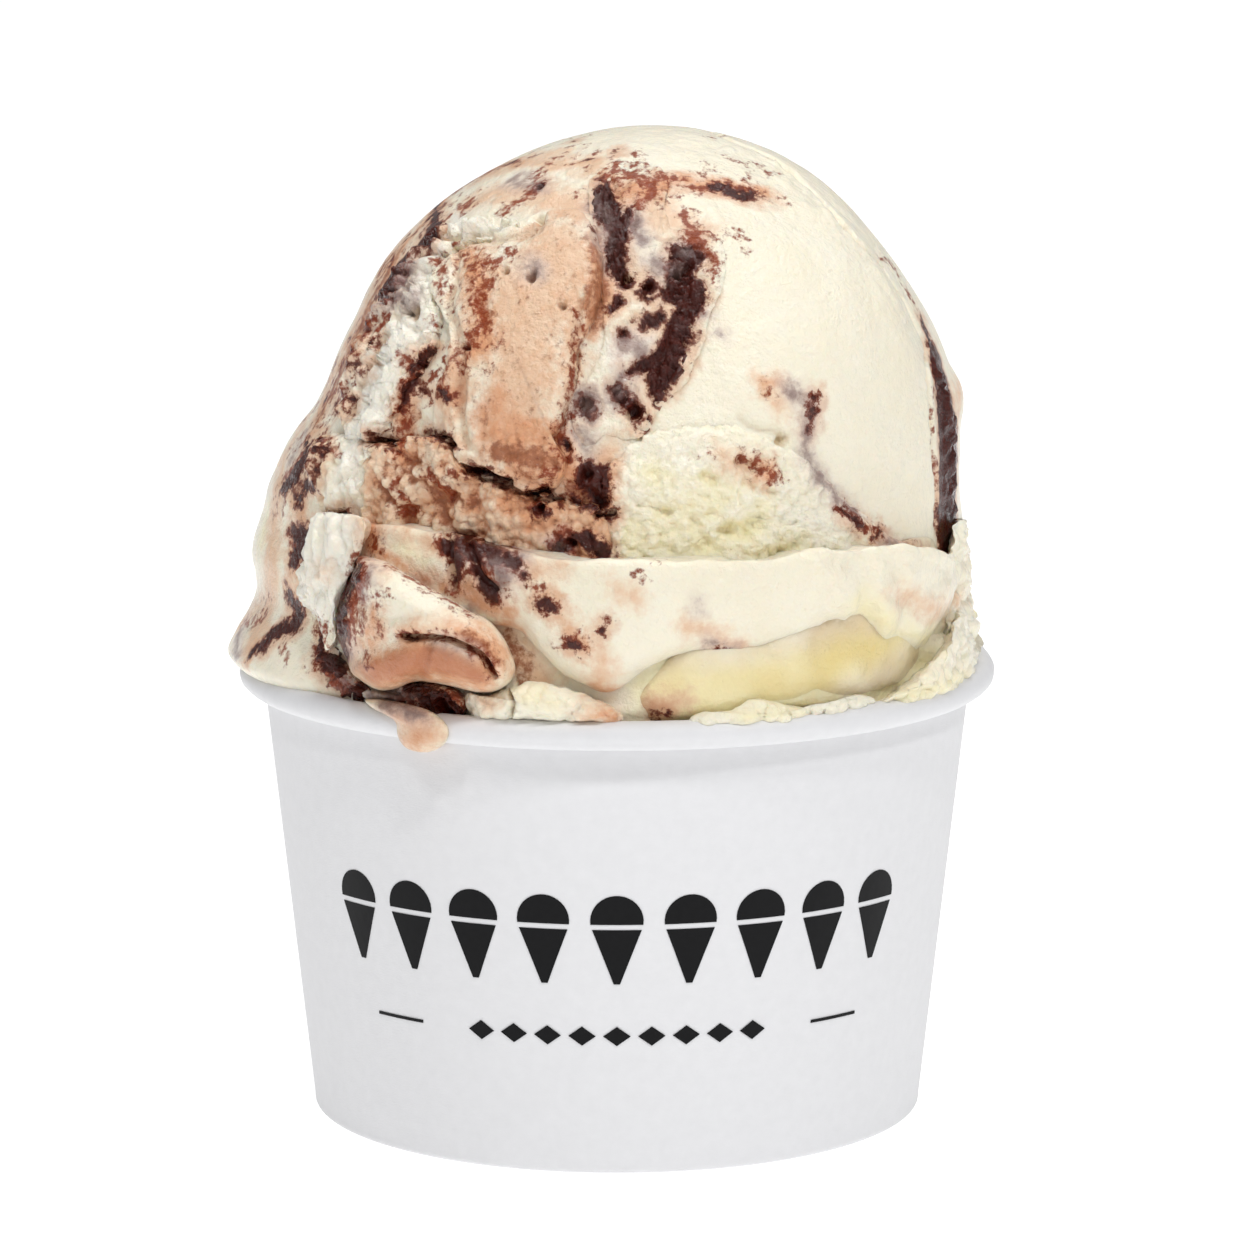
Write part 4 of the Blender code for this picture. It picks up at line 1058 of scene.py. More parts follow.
# The last tuple of each call grows a field in the layer's hollows: partly its own colour, partly painted shade.
layer_piece("gelato_panel", cushion(PANEL, (520, 360), 1.9, 2.0, 178, 416, 0.18, 1.6, 171),
            fine_marks("white"), panel_relief, 171, (("brown", 1.5, 0.0), ("peach", 0.8, 0.0)))
layer_piece("gelato_crust", cushion(CRUST, (490, 512), 1.9, 2.0, 190, 500, 0.25, 2.5, 173),
            fine_marks("white"), crust_relief, 173, (("tan", 1.0, 2.0), ("peach", 2.6, 0.7), ("brown", 2.8, -0.6)))
layer_piece("gelato_flank", cushion(FLANK, (730, 512), 1.3, 2.0, 170, 440, 0.35, 2.5, 175),
            fine_marks(), flank_relief, 175, (("yellow", 1.8, 0.1),))
layer_piece("gelato_curds", strip(CURDS, 1.6, 1.5, 380, 250, 0.45, 2.5, 177),
            fine_marks("tan", "peach"), curd_relief, 177)
layer_piece("gelato_curd_lump", cushion(CURD_LUMP, (350, 482), 2.2, 2.0, 120, 270, 0.5, 1.6, 179),
            fine_marks("tan", "peach"), curd_relief, 179)
layer_piece("gelato_vein", cushion(VEIN, (645, 300), 0.5, 1.5, 190, 500, 0.35, 1.2, 181),
            fine_marks(), vein_relief, 181)

# %% [markdown]
# ## The skirt
# The last stroke of the spatula lays a folded skirt round the foot of the dome. Its top
# is a crisp lip, its lower edge rolls under and hangs in soft lobes. It is a closed band:
# a rounded section carried round the dome, whose top, bottom and face change by azimuth.

# %% A closed band carried round the dome
APRON_TOP = (
    (-66, 66.5), (-60, 70.6), (-48, 71.4), (-32, 71.0), (-18, 69.5), (2, 69.1), (20, 68.9),
    (34, 69.2), (46, 68.6), (62, 66.0), (78, 61.5),
)
APRON_BOTTOM = (
    (-66, 62.0), (-58, 57.0), (-40, 58.0), (-26, 60.5), (-18, 60.8), (-8, 56.4), (-1, 54.9),
    (4, 57.0), (10, 58.6), (17, 57.4), (24, 58.8), (33, 61.0), (40, 60.2), (46, 57.6), (53, 55.0), (60, 54.8),
    (68, 56.5), (78, 60.0),
)
APRON_FACE = (
    (-66, 38.6), (-52, 41.4), (-30, 41.0), (-8, 42.0), (0, 42.4), (12, 41.6), (30, 41.2),
    (50, 41.6), (60, 41.0), (68, 39.8), (78, 37.6),
)
BACK_TOP = ((96, 61.5), (116, 66.0), (150, 68.5), (180, 67.0), (210, 69.0), (236, 65.5), (254, 60.0))
BACK_BOTTOM = ((96, 59.5), (116, 56.0), (150, 57.5), (180, 54.5), (210, 57.0), (236, 55.5), (254, 58.5))
BACK_FACE = ((96, 37.2), (120, 40.6), (150, 41.6), (180, 43.8), (210, 41.2), (236, 40.4), (254, 37.2))
FOLD_THICKNESS = 9.0


def folded_band(azimuths, top, bottom, face, around, lip_reach):
    """Rows by azimuth, columns round a section: a rounded box from bottom to top, its depth FOLD_THICKNESS."""
    a = azimuths[:, None]
    high, low, outer = (smooth_between(a, stops) for stops in (top, bottom, face))
    angle = np.linspace(0, 2 * pi, around, endpoint=False)[None, :]
    rise = np.sign(np.sin(angle)) * np.abs(np.sin(angle)) ** 0.75
    depth = np.sign(np.cos(angle)) * np.abs(np.cos(angle)) ** 0.6
    lip = lip_reach * hill(np.degrees(angle), 62, 24)
    r = outer + FOLD_THICKNESS / 2 * (depth - 1) + 0.5 * rise + 0.5 * lip
    z = (high + low) / 2 + (high - low) / 2 * rise + lip
    return np.stack([axis_shift(z) + r * np.sin(np.radians(a)), -r * np.cos(np.radians(a)), z], axis=-1)


apron = folded_band(np.linspace(-66, 78, 440), APRON_TOP, APRON_BOTTOM, APRON_FACE, 130, 0.7)
APRON_MARKS = {
    "cocoa": (
        ((452, 545, 7), (458, 562, 8), (455, 580, 6)), ((466, 540, 8), (476, 552, 9), (480, 568, 6), (486, 580, 5)),
        ((492, 548, 9), (500, 560, 8)), ((510, 556, 7), (516, 566, 5)), ((486, 585, 6), (496, 592, 7)),
        ((522, 578, 3),), ((541, 602, 6), (548, 606, 4)), ((566, 636, 3), (578, 642, 4)),
        ((718, 655, 3), (730, 656, 5), (742, 661, 7), (748, 666, 5)), ((602, 626, 3),),
    ),
    "smear": (
        ((448, 545, 10), (460, 566, 11), (454, 590, 7)), ((470, 545, 11), (486, 572, 11), (498, 596, 8)),
        ((534, 586, 4), (538, 594, 3)), ((545, 603, 7),), ((562, 636, 5), (570, 630, 5), (580, 640, 6)),
        ((716, 655, 4), (742, 661, 8), (752, 670, 4)), ((602, 624, 4),), ((374, 530, 3), (372, 548, 4)),
        ((656, 556, 1.5),), ((637, 572, 1.5),), ((640, 576, 1.2),),
    ),
    "film": (
        ((494, 560, 13), (508, 570, 14), (500, 584, 9)), ((520, 552, 8),), ((466, 556, 9),),
        ((698, 605, 4),), ((728, 652, 8), (744, 668, 6)), ((712, 646, 5),),
    ),
    "tan": (
        ((372, 522, 7), (368, 548, 9), (376, 556, 7)), ((524, 562, 6), (560, 568, 6)),
        ((560, 620, 6), (600, 650, 8), (600, 690, 12)), ((620, 590, 7), (640, 600, 6)), ((545, 590, 7),),
        ((690, 625, 6), (740, 645, 7)), ((905, 600, 6), (940, 610, 8)), ((400, 530, 5), (430, 545, 6)),
    ),
    "peach": (
        ((372, 520, 8), (368, 545, 8), (380, 556, 5)), ((462, 594, 10), (486, 604, 10), (508, 612, 9)),
        ((372, 552, 4), (400, 566, 4), (440, 590, 4)), ((504, 630, 8), (512, 660, 6)), ((600, 696, 5), (622, 698, 5)),
    ),
    "yellow": (((400, 545, 3), (425, 560, 4)), ((860, 605, 8), (900, 640, 9), (930, 640, 8))),
}
fields = marbled(apron, APRON_MARKS, 0.6, 11)
lumpy = picture_field(apron, (((455, 550, 16), (480, 572, 18), (500, 588, 14)),), 0.6)
ball = picture_field(apron, (((494, 566, 7), (508, 574, 8)),), 0.2)
fold = picture_field(apron, (((466, 540, 2), (474, 560, 2.5), (482, 578, 2.5), (496, 588, 2)),
                             ((446, 536, 2), (450, 560, 2), (452, 590, 2))), 0.2)
valley = picture_field(apron, (((862, 572, 2), (868, 610, 3), (858, 650, 3)), ((902, 575, 2), (911, 620, 3), (903, 665, 3))), 0.6)
pocked = picture_field(apron, (((660, 575, 20), (720, 575, 20), (800, 580, 20), (880, 585, 26)),), 1.0)
across = seen_at(apron)[..., 0]
right_lobes = eased(across, 740, 840)
ropes = eased(lumpy, -0.5, 0.8) * 0.7 * billows(apron * (1, 1, 0.6), 2.4, 2, 63)
heights = (
    (0.42 + 0.5 * right_lobes) * smooth_noise(apron, 7.0, 65) + (0.16 + 0.2 * right_lobes) * fractal(apron, 3.6, 3, 66)
    + 0.1 * eased(pocked, -0.5, 0.5) * grains(apron, 1.3, 67) + ropes
    + 1.3 * eased(ball, -1.2, 0.9) - 1.0 * eased(fold, -0.5, 0.2) - 0.8 * eased(valley, -2.2, 0.3)
)
apron = raised(apron, heights)
# Painted shade in the skirt's folds.
fields["deep"] = 0.4 * eased(fold, -0.4, 0.2)
as_gelato(surface_object("gelato_skirt", apron, fields, gelato_finish))

back_fold = folded_band(np.linspace(96, 254, 260), BACK_TOP, BACK_BOTTOM, BACK_FACE, 72, 0.4)
back_fields = marbled(back_fold, {})
for field, size, most, less, seed in (("peach", 10.0, 2.6, 1.0, 74), ("tan", 14.0, 3.0, 0.8, 76),
                                      ("smear", 6.0, 3.0, 1.9, 78), ("cocoa", 6.0, 2.8, 2.1, 78)):
    back_fields[field] = most * fractal(back_fold, size, 2, seed) - less
back_fold = raised(back_fold, 0.5 * smooth_noise(back_fold, 7.0, 71) + 0.2 * fractal(back_fold, 3.4, 3, 72))
as_gelato(surface_object("gelato_back_fold", back_fold, back_fields, gelato_finish))

# %% [markdown]
# ## The tongue and the bits at the rim
# These stand further out than the mound, so their outlines are laid on a ring round the
# cup's axis, and the middle swells from that ring towards the eye.

# %% Depth inside a stroke in the picture
def inside(places, stops):
    """How deep picture places lie inside a stroke, in mm: its width less the distance to its nearest run."""
    stops = filled_in(stops)
    flat = places.reshape(-1, 2)
    return depth_inside(flat, stops[:, :2], stops[:, 2]).reshape(places.shape[:-1]) / PIXELS_PER_MM


def pushed(grid, heights):
    """The grid moved away from the cup's axis by heights in mm."""
    away = grid * (1, 1, 0)
    return grid + away / np.linalg.norm(away, axis=-1)[..., None] * heights[..., None]


def on_ring_swollen(form, ring):
    """A form laid on a ring, each place at the ring's radius plus its reach."""
    places, reach = form
    return places, on_ring(places, ring + reach)


print("inside a stroke of half width 9:", inside(np.array([[5.0, 0.0]]), ((0, 0, 9), (10, 0, 9))).round(2), "mm")

# %% [markdown]
# The tongue curls down from the skirt's left end: a wide cream band that turns under at
# its tip. The underside shows as a fat peach lip below a long crease.

# %% The curled tongue
TONGUE_OUTLINE = (
    (358, 556), (374, 558), (389, 563), (404, 572), (419, 581), (446, 596), (471, 611), (487, 619), (500, 633),
    (509, 649), (515, 667), (511, 681), (496, 691), (479, 692), (462, 689), (446, 685), (429, 682), (413, 682),
    (399, 688), (383, 690), (369, 684), (356, 672), (348, 659), (342, 648), (337, 636), (335, 622), (337, 606),
    (343, 592), (351, 578), (355, 566),
)
CREASE = ((403, 636, 2), (412, 638, 3), (424, 637, 2.5), (438, 637, 2), (453, 639, 2.2), (467, 646, 2.6),
          (480, 652, 3), (486, 659, 3.4), (492, 669, 3.4), (496, 676, 2))
LIP_LINE = ((364, 668, 8), (384, 670, 15), (412, 662, 18), (440, 659, 16), (466, 666, 14), (482, 676, 9))
HOOD_EDGE = ((398, 627, 3), (424, 627, 4), (440, 627, 4), (457, 629, 4), (473, 636, 4), (490, 646, 4),
             (499, 660, 4), (503, 672, 3))

tongue_places, tongue = on_ring_swollen(cushion(TONGUE_OUTLINE, (424, 632), 5.6, 7.0, 160, 340, 0.62), 40.6)
crease, lip, hood_edge = (inside(tongue_places, line) for line in (CREASE, LIP_LINE, HOOD_EDGE))
waist = inside(tongue_places, ((432, 642, 2), (428, 660, 2.5), (420, 682, 3)))
ridge = inside(tongue_places, ((366, 580, 8), (400, 600, 10), (440, 616, 9), (474, 630, 5)))
gather = inside(tongue_places, ((360, 575, 5), (352, 590, 6), (345, 608, 6), (342, 630, 5)))
front_rows = (np.arange(tongue.shape[0]) < tongue.shape[0] // 2)[:, None]
heights = front_rows * (
    -1.4 * eased(crease, -0.2, 0.15) + 0.9 * eased(lip, -1.2, 1.2) - 0.5 * eased(waist, -0.8, 0.3)
    + 0.6 * eased(ridge, -1.5, 1.0) + 0.8 * eased(hood_edge, -0.9, 0.4)
    + eased(gather, -0.6, 0.4) * 0.9 * (billows(tongue, 2.2, 2, 84) - 0.3)
)
heights = heights + 0.25 * smooth_noise(tongue, 5.0, 81) + 0.1 * fractal(tongue, 2.4, 3, 82)
tongue = pushed(tongue, heights)
TONGUE_MARKS = {
    "cocoa": (
        ((357, 566, 3), (355, 576, 4), (347, 588, 6), (342, 604, 6), (340, 622, 5), (343, 642, 4), (348, 656, 3)),
        ((408, 637, 1.2), (415, 638, 2.2)), ((486, 660, 0.8), (490, 667, 1.2)),
    ),
    "smear": (
        ((362, 560, 4), (358, 578, 7), (354, 600, 8), (350, 622, 7), (347, 640, 5)), ((361, 629, 2),), ((353, 641, 2),),
        ((402, 636, 2), (415, 637, 3), (432, 636, 1), (452, 637, 1)), ((470, 646, 1.5), (488, 660, 2.5), (495, 676, 3.5)),
        ((378, 622, 2), (380, 633, 2)), ((378, 597, 1.5), (388, 593, 1)), ((369, 656, 2), (368, 664, 2)),
        ((390, 563, 1.5), (430, 588, 1.2), (470, 612, 1.2)), ((382, 604, 1.5),),
    ),
    "film": (((372, 566, 7), (364, 580, 8), (362, 590, 5)), ((343, 640, 7), (348, 656, 6)), ((440, 641, 2), (470, 652, 2.5))),
    "tan": (
        ((356, 664, 12), (384, 672, 20), (414, 664, 20), (440, 660, 18), (466, 668, 18), (490, 682, 12)),
        ((420, 626, 8), (450, 626, 9), (476, 634, 12), (497, 652, 14), (506, 670, 12)), ((372, 560, 10), (380, 572, 8)),
        ((380, 622, 6), (374, 645, 9)), ((478, 622, 5), (492, 632, 8)),
    ),
    "peach": (
        ((374, 672, 10), (390, 668, 18), (410, 662, 20), (436, 662, 19), (460, 670, 17), (484, 682, 9)),
        ((455, 627, 3), (474, 634, 6), (490, 648, 7), (499, 664, 7)), ((375, 614, 5), (372, 640, 6)),
    ),
    "brown": (((468, 634, 3), (486, 648, 4), (496, 666, 4)), ((364, 600, 5), (358, 620, 5))),
}
tongue_fields = marbled(tongue, TONGUE_MARKS, 0.35, 83)
# Painted shade in the crease and the waist, and on the lip under the hood.
tongue_fields["deep"] = 0.3 * eased(crease, -0.25, 0.15) + 0.1 * eased(waist, -0.8, 0.3) + 0.42 * eased(lip, -0.6, 0.8)
as_gelato(surface_object("gelato_tongue", tongue, tongue_fields, gelato_finish))

# %% [markdown]
# Left of the tongue the skirt ends in a white ridged run. Under the tongue lies chocolate
# that was pushed down to the rim, a milky drip that ran over it, and wet curds beside it.

# %% Squeezed-out bits along the rim
def rim_bit(name, form, ring, marks, coarse, holes=(), shade=0.0):
    """A cushion laid on a ring. Relief comes from coarse(grid), holes from strokes; shade is painted shade over all of
    it, as for a part that lies in shadow, and its hollows get more.
    """
    places, grid = on_ring_swollen(form, ring)
    heights = coarse(grid)
    for hole in holes:
        heights = heights - 2.0 * eased(inside(places, hole), -0.4, 0.4)
    fields = marbled(grid, marks, 0.5, 91)
    # Painted shade: the whole piece by the shade argument, and its hollows more.
    fields["deep"] = shade - 0.4 * heights
    as_gelato(surface_object(name, pushed(grid, heights), fields, gelato_finish))


def smooth_bit(grid):
    """Slow swells under a thin skin."""
    return 0.3 * smooth_noise(grid, 3.5, 92) + 0.04 * fractal(grid, 2.0, 3, 93)


def broad_bit(grid):
    """Slower, higher swells, like dough that was pushed aside."""
    return 0.7 * smooth_noise(grid, 6.0, 94) + 0.25 * smooth_noise(grid, 2.8, 95) + 0.05 * grains(grid, 1.2, 96)


def creased_bit(grid):
    """Creased lumps, for chocolate and for wet curds."""
    return 1.5 * billows(warp(grid, 2.6, 0.7, 97), 2.2, 3, 98) - 0.45


def curd_bit(grid):
    """Round soft lumps, with smaller ones between them."""
    bent = warp(grid, 2.6, 0.7, 97)
    return 0.7 * grains(bent, 2.6, 98) + 0.55 * grains(bent, 1.4, 99) - 0.5


def ridged_end(grid):
    """Runs and steps: creased lumps drawn out down the piece, and lower ones across it."""
    bent = warp(grid, 4.0, 0.8, 100)
    return 1.5 * billows(bent * (1, 1, 0.4), 2.6, 2, 101) + 0.5 * billows(bent * (0.6, 0.6, 1), 2.0, 2, 103) - 0.45


SKIRT_END = (
    (320, 512), (342, 514), (363, 517), (371, 526), (366, 540), (358, 558), (348, 580), (341, 600), (338, 619),
    (337, 640), (331, 648), (326, 626), (318, 614), (309, 606), (304, 592), (303, 575), (307, 555), (311, 540),
    (315, 526),
)
rim_bit("gelato_skirt_end", cushion(SKIRT_END, (334, 562), 1.6, 5.0, 100, 240, 0.4, 1.0, 105), 41.4,
        {"white": (((335, 520, 30), (330, 600, 30)),), "tan": (((368, 520, 5), (366, 545, 4)), ((330, 574, 4),)),
         "smear": (((369, 545, 2), (360, 560, 2), (352, 576, 2)), ((322, 622, 2), (331, 642, 3)))},
        ridged_end)
RIPPLE_LEFT = ((318, 632), (332, 642), (344, 657), (360, 678), (374, 692), (366, 702), (345, 701), (325, 694),
               (317, 672), (314, 650))
rim_bit("gelato_ripple_left", cushion(RIPPLE_LEFT, (338, 674), 2.6, 6.0, 96, 240, 0.7, 1.0, 106), 38.4,
        {"cocoa": (((322, 640, 8), (330, 655, 11), (340, 670, 8)), ((364, 690, 9), (352, 698, 6)), ((322, 670, 4),)),
         "smear": (((322, 640, 12), (332, 672, 13), (345, 690, 8)), ((330, 686, 6),)),
         "film": (((348, 682, 12), (336, 692, 8)), ((318, 686, 6),))},
        creased_bit, [((326, 650, 3), (334, 654, 3))])
RIPPLE_MIDDLE = ((362, 690), (385, 690), (413, 682), (440, 684), (462, 692), (468, 706), (462, 721), (450, 728),
                 (438, 722), (428, 712), (405, 705), (380, 704), (364, 700))
rim_bit("gelato_ripple_middle", cushion(RIPPLE_MIDDLE, (420, 700), 3.0, 6.0, 96, 240, 0.7, 0.8, 107), 38.8,
        {"cocoa": (((420, 692, 9), (436, 702, 13), (450, 714, 13)), ((408, 690, 6),)),
         "smear": (((456, 696, 9), (463, 710, 7)), ((400, 700, 5), (424, 712, 5))),
         "film": (((372, 694, 9), (394, 696, 12), (412, 698, 8)),), "peach": (((398, 706, 6), (420, 714, 5)),)},
        creased_bit, [((440, 704, 4), (449, 714, 4.5))])
DRIP = ((364, 700), (384, 700), (404, 703), (424, 708), (440, 716), (449, 728), (447, 741), (436, 750), (420, 752),
        (405, 747), (397, 736), (395, 722), (384, 714), (372, 708))
# The drip is darkened all over with painted shade.
rim_bit("gelato_drip", cushion(DRIP, (420, 728), 2.0, 4.0, 96, 240, 0.6), 42.4,
        {"tan": (((415, 735, 20), (430, 740, 16), (400, 716, 10)),), "film": (((384, 704, 7), (410, 706, 9), (425, 716, 5)),),
         "peach": (((402, 712, 6), (424, 716, 8), (420, 740, 4)),)},
        smooth_bit, shade=0.25)
LUMPS = ((466, 694), (486, 696), (500, 690), (514, 686), (530, 680), (556, 684), (585, 694), (606, 704), (622, 712),
         (618, 722), (580, 722), (540, 720), (500, 720), (474, 717))
rim_bit("gelato_lumps_at_rim", cushion(LUMPS, (540, 706), 3.0, 6.0, 80, 240, 0.8, 1.0, 108), 40.2,
        {"yellow": (((530, 694, 4), (560, 700, 4)),), "tan": (((590, 714, 10), (612, 716, 8)), ((490, 702, 5),)),
         "peach": (((608, 714, 4), (616, 718, 4)),)},
        curd_bit, [((508, 692, 1), (513, 704, 1.5), (511, 716, 1))])
MOUND_AT_RIM = (
    (636, 700), (652, 676), (680, 650), (720, 640), (760, 640), (800, 612), (840, 596), (870, 570), (905, 540),
    (935, 540), (948, 570), (950, 610), (942, 645), (915, 672), (880, 690), (840, 700), (800, 708), (740, 717),
    (690, 721), (650, 720),
)
# This lobe lies under the overhang of the skirt and is darkened all over with painted shade.
rim_bit("gelato_mound_at_rim", cushion(MOUND_AT_RIM, (800, 668), 2.8, 6.0, 100, 300, 0.8), 38.2,
        {"yellow": (((660, 700, 30), (740, 690, 30), (820, 670, 24), (900, 640, 14)),), "cocoa": (((668, 712, 2),), ((655, 716, 2),)),
         "smear": (((664, 714, 4),), ((909, 548, 3), (913, 560, 3)), ((942, 600, 3),)),
         "tan": (((650, 706, 11), (684, 698, 7)), ((905, 560, 12), (930, 600, 10), (944, 640, 8))),
         "film": (((888, 546, 8), (905, 556, 9), (918, 566, 7)),)},
        broad_bit, shade=0.36)
CURDS_AT_RIM = ((878, 702), (900, 688), (922, 668), (946, 640), (958, 612), (966, 630), (974, 655), (975, 672),
                (958, 690), (930, 702), (900, 709))
rim_bit("gelato_curds_at_rim", cushion(CURDS_AT_RIM, (938, 680), 3.0, 5.0, 96, 300, 0.6, 0.8, 109), 40.0,
        {"yellow": (((900, 700, 5), (960, 680, 6)),)}, curd_bit)
CURDS_AT_SIDE = ((946, 570), (950, 540), (956, 520), (962, 522), (965, 545), (967, 572), (969, 600), (973, 625),
                 (980, 645), (972, 662), (955, 660), (945, 640), (943, 605))
rim_bit("gelato_curds_at_side", cushion(CURDS_AT_SIDE, (958, 600), 1.0, 4.0, 96, 260, 0.6, 0.5, 111), 39.6,
        {"tan": (((950, 600, 5),),)}, curd_bit)
CURDS_IN_GAP = ((690, 724), (700, 713), (728, 710), (752, 699), (776, 702), (806, 708), (832, 702), (858, 694),
                (872, 700), (850, 712), (800, 722), (740, 727))
rim_bit("gelato_curds_in_gap", cushion(CURDS_IN_GAP, (776, 714), 1.8, 4.0, 80, 320, 0.6, 0.6, 110), 40.8,
        {"yellow": (((740, 716, 5), (800, 712, 5)),)}, curd_bit)

# %% [markdown]
# Loose crumbs of gelato lie round the foot where the spatula cut the mass away. Each is a small lumpy solid of a few dozen faces set on the mound.

# %% Crumbs
def crumb_grid(centre, size, seed):
    """A small ball with noise added to its radius."""
    polar = np.linspace(0.25, pi - 0.25, 7)[:, None]
    turn = np.linspace(0, 2 * pi, 10, endpoint=False)[None, :]
    ball = np.stack(np.broadcast_arrays(np.sin(polar) * np.cos(turn), np.sin(polar) * np.sin(turn), np.cos(polar)), axis=-1)
    return centre + ball * size * (1 + 0.35 * smooth_noise(ball + seed * 3.7, 0.9, seed))[..., None]


def crumbs(name, count, low_azimuth, high_azimuth, low, high, sizes, seed):
    """Crumbs at random places of the mound between two azimuths and two heights, joined as one mesh."""
    random = np.random.default_rng(seed)
    flat, normals = mound.reshape(-1, 3), grid_normals(mound).reshape(-1, 3)
    azimuths = np.broadcast_to(azimuth, mound.shape[:2]).ravel()
    within = np.flatnonzero((azimuths > low_azimuth) & (azimuths < high_azimuth) & (flat[:, 2] > low) & (flat[:, 2] < high))
    vertices, faces, start = [], [], 0
    for i in random.choice(within, count, replace=False):
        size = random.uniform(*sizes)
        grid = crumb_grid(flat[i] + 0.2 * size * normals[i], size, int(random.integers(1000)))
        rows, columns = grid.shape[:2]
        ring = np.arange(columns)
        onward = (ring + 1) % columns
        points = np.concatenate([grid.reshape(-1, 3), [grid[0].mean(axis=0), grid[-1].mean(axis=0)]])
        quads = [np.stack([start + r * columns + ring, start + (r + 1) * columns + ring,
                           start + (r + 1) * columns + onward, start + r * columns + onward], axis=-1) for r in range(rows - 1)]
        faces += np.concatenate(quads).tolist()
        pole, foot, last = start + rows * columns, start + rows * columns + 1, start + (rows - 1) * columns
        faces += [(start + a, start + b, pole) for a, b in zip(ring.tolist(), onward.tolist())]
        faces += [(last + b, last + a, foot) for a, b in zip(ring.tolist(), onward.tolist())]
        vertices.append(points)
        start += len(points)
    mesh = bpy.data.meshes.new(name)
    mesh.from_pydata(np.concatenate(vertices) * MM, [], faces)
    for field in FIELDS:
        value = -0.5 if field == "yellow" else FAR_OUTSIDE
        mesh.attributes.new(field, "FLOAT", "POINT").data.foreach_set("value", np.full(start, value, np.float32))
    turn_outward(mesh)
    mesh.shade_smooth()
    as_gelato(placed(name, mesh, gelato_finish))


crumbs("gelato_crumbs_right", 60, 90, 104, 51.5, 56, (0.35, 0.9), 5)
crumbs("gelato_crumbs_back", 150, 104, 236, 51.5, 59, (0.4, 1.1), 6)
crumbs("gelato_crumbs_left", 30, 236, 255, 51.5, 57, (0.4, 1.0), 7)

# %% [markdown]
# ## The paper cup
# The cup is bleached paperboard with a thin coating inside and out. The wall is one fan
# of board glued at the back, its top edge is curled outwards into a roll, and its foot
# is folded in round the flange of the base. It could be a turned solid, but only the
# real path of the sheet gives the roll its shadow and the foot its recess.

# %% Bleached paperboard
def bleached_paperboard():
    """Matte coated board: faint fibre mottling 1 mm across and a fine diagonal calender texture."""
    made, tree, shader = new_material("bleached_paperboard")
    place = add(tree, "ShaderNodeTexCoord").outputs["Object"]
    mottle = add(tree, "ShaderNodeTexNoise", Vector=place, Scale=1 / (1.4 * MM), Detail=4.0).outputs["Fac"]
    slanted = add(tree, "ShaderNodeMapping", Vector=place, Rotation=(0.0, 0.7, 0.0), Scale=(1.0, 1.0, 3.2)).outputs[0]
    fibre = add(tree, "ShaderNodeTexNoise", Vector=slanted, Scale=1 / (0.55 * MM), Detail=3.0).outputs["Fac"]
    tone = add(tree, "ShaderNodeMix", {"data_type": "RGBA"}, Factor=mottle, _6="#DEDEE0", _7="#E6E6E8")
    tree.links.new(tone.outputs[2], shader.inputs["Base Color"])
    fine = add(tree, "ShaderNodeBump", Strength=0.22, Distance=0.12 * MM, Height=fibre)
    bump = add(tree, "ShaderNodeBump", Strength=0.2, Distance=0.25 * MM, Height=mottle, Normal=fine.outputs[0])
    tree.links.new(bump.outputs[0], shader.inputs["Normal"])
    shader.inputs["Roughness"].default_value = 0.55
    shader.inputs["IOR"].default_value = 1.5
    return made


paper_finish = bleached_paperboard()

# %% The wall as a turned sheet
FOLD_HEIGHT, FOLD_BEND, CURL_END = 5.0, 0.35, -128


def arc(centre, radius, start, end, steps):
    """Points of an arc in the plane of radius and height, angles in degrees."""
    angle = np.radians(np.linspace(start, end, steps))
    return np.stack([centre[0] + radius * np.cos(angle), centre[1] + radius * np.sin(angle)], axis=1)


def sheet_outline(path, thickness):
    """Both faces of a sheet: its middle line moved half a thickness to each side, with mitred bends."""
    runs = np.diff(path, axis=0)
    runs /= np.linalg.norm(runs, axis=1)[:, None]
    sides = np.stack([-runs[:, 1], runs[:, 0]], axis=1)
    before, after = np.concatenate([sides[:1], sides]), np.concatenate([sides, sides[-1:]])
    offset = (before + after) / (1 + np.sum(before * after, axis=1))[:, None] * thickness / 2
    return np.concatenate([path + offset, (path - offset)[::-1]])


def wall_path():
    """The sheet's middle line: up the inner fold, round the foot, up the slope and round the curl."""
    fold = WALL_FOOT - 2 * (BOARD + GAP)
    bend = BOARD / 2 + FOLD_BEND
    start = bend + FOLD_BEND
    share = np.linspace(0, 0.95, 40)
    slope = np.stack([WALL_FOOT + (WALL_TOP - WALL_FOOT) * share, start + share * (ROLL_CENTRE[1] - start)], axis=1)
    return np.concatenate([
        [(fold, FOLD_HEIGHT), (fold, start)],
        arc((fold + FOLD_BEND, bend), FOLD_BEND, 180, 270, 6),
        arc((WALL_FOOT - FOLD_BEND, bend), FOLD_BEND, 270, 360, 6),
        slope,
        arc(ROLL_CENTRE, ROLL_RADIUS - BOARD / 2, 180, CURL_END, 34),
    ])


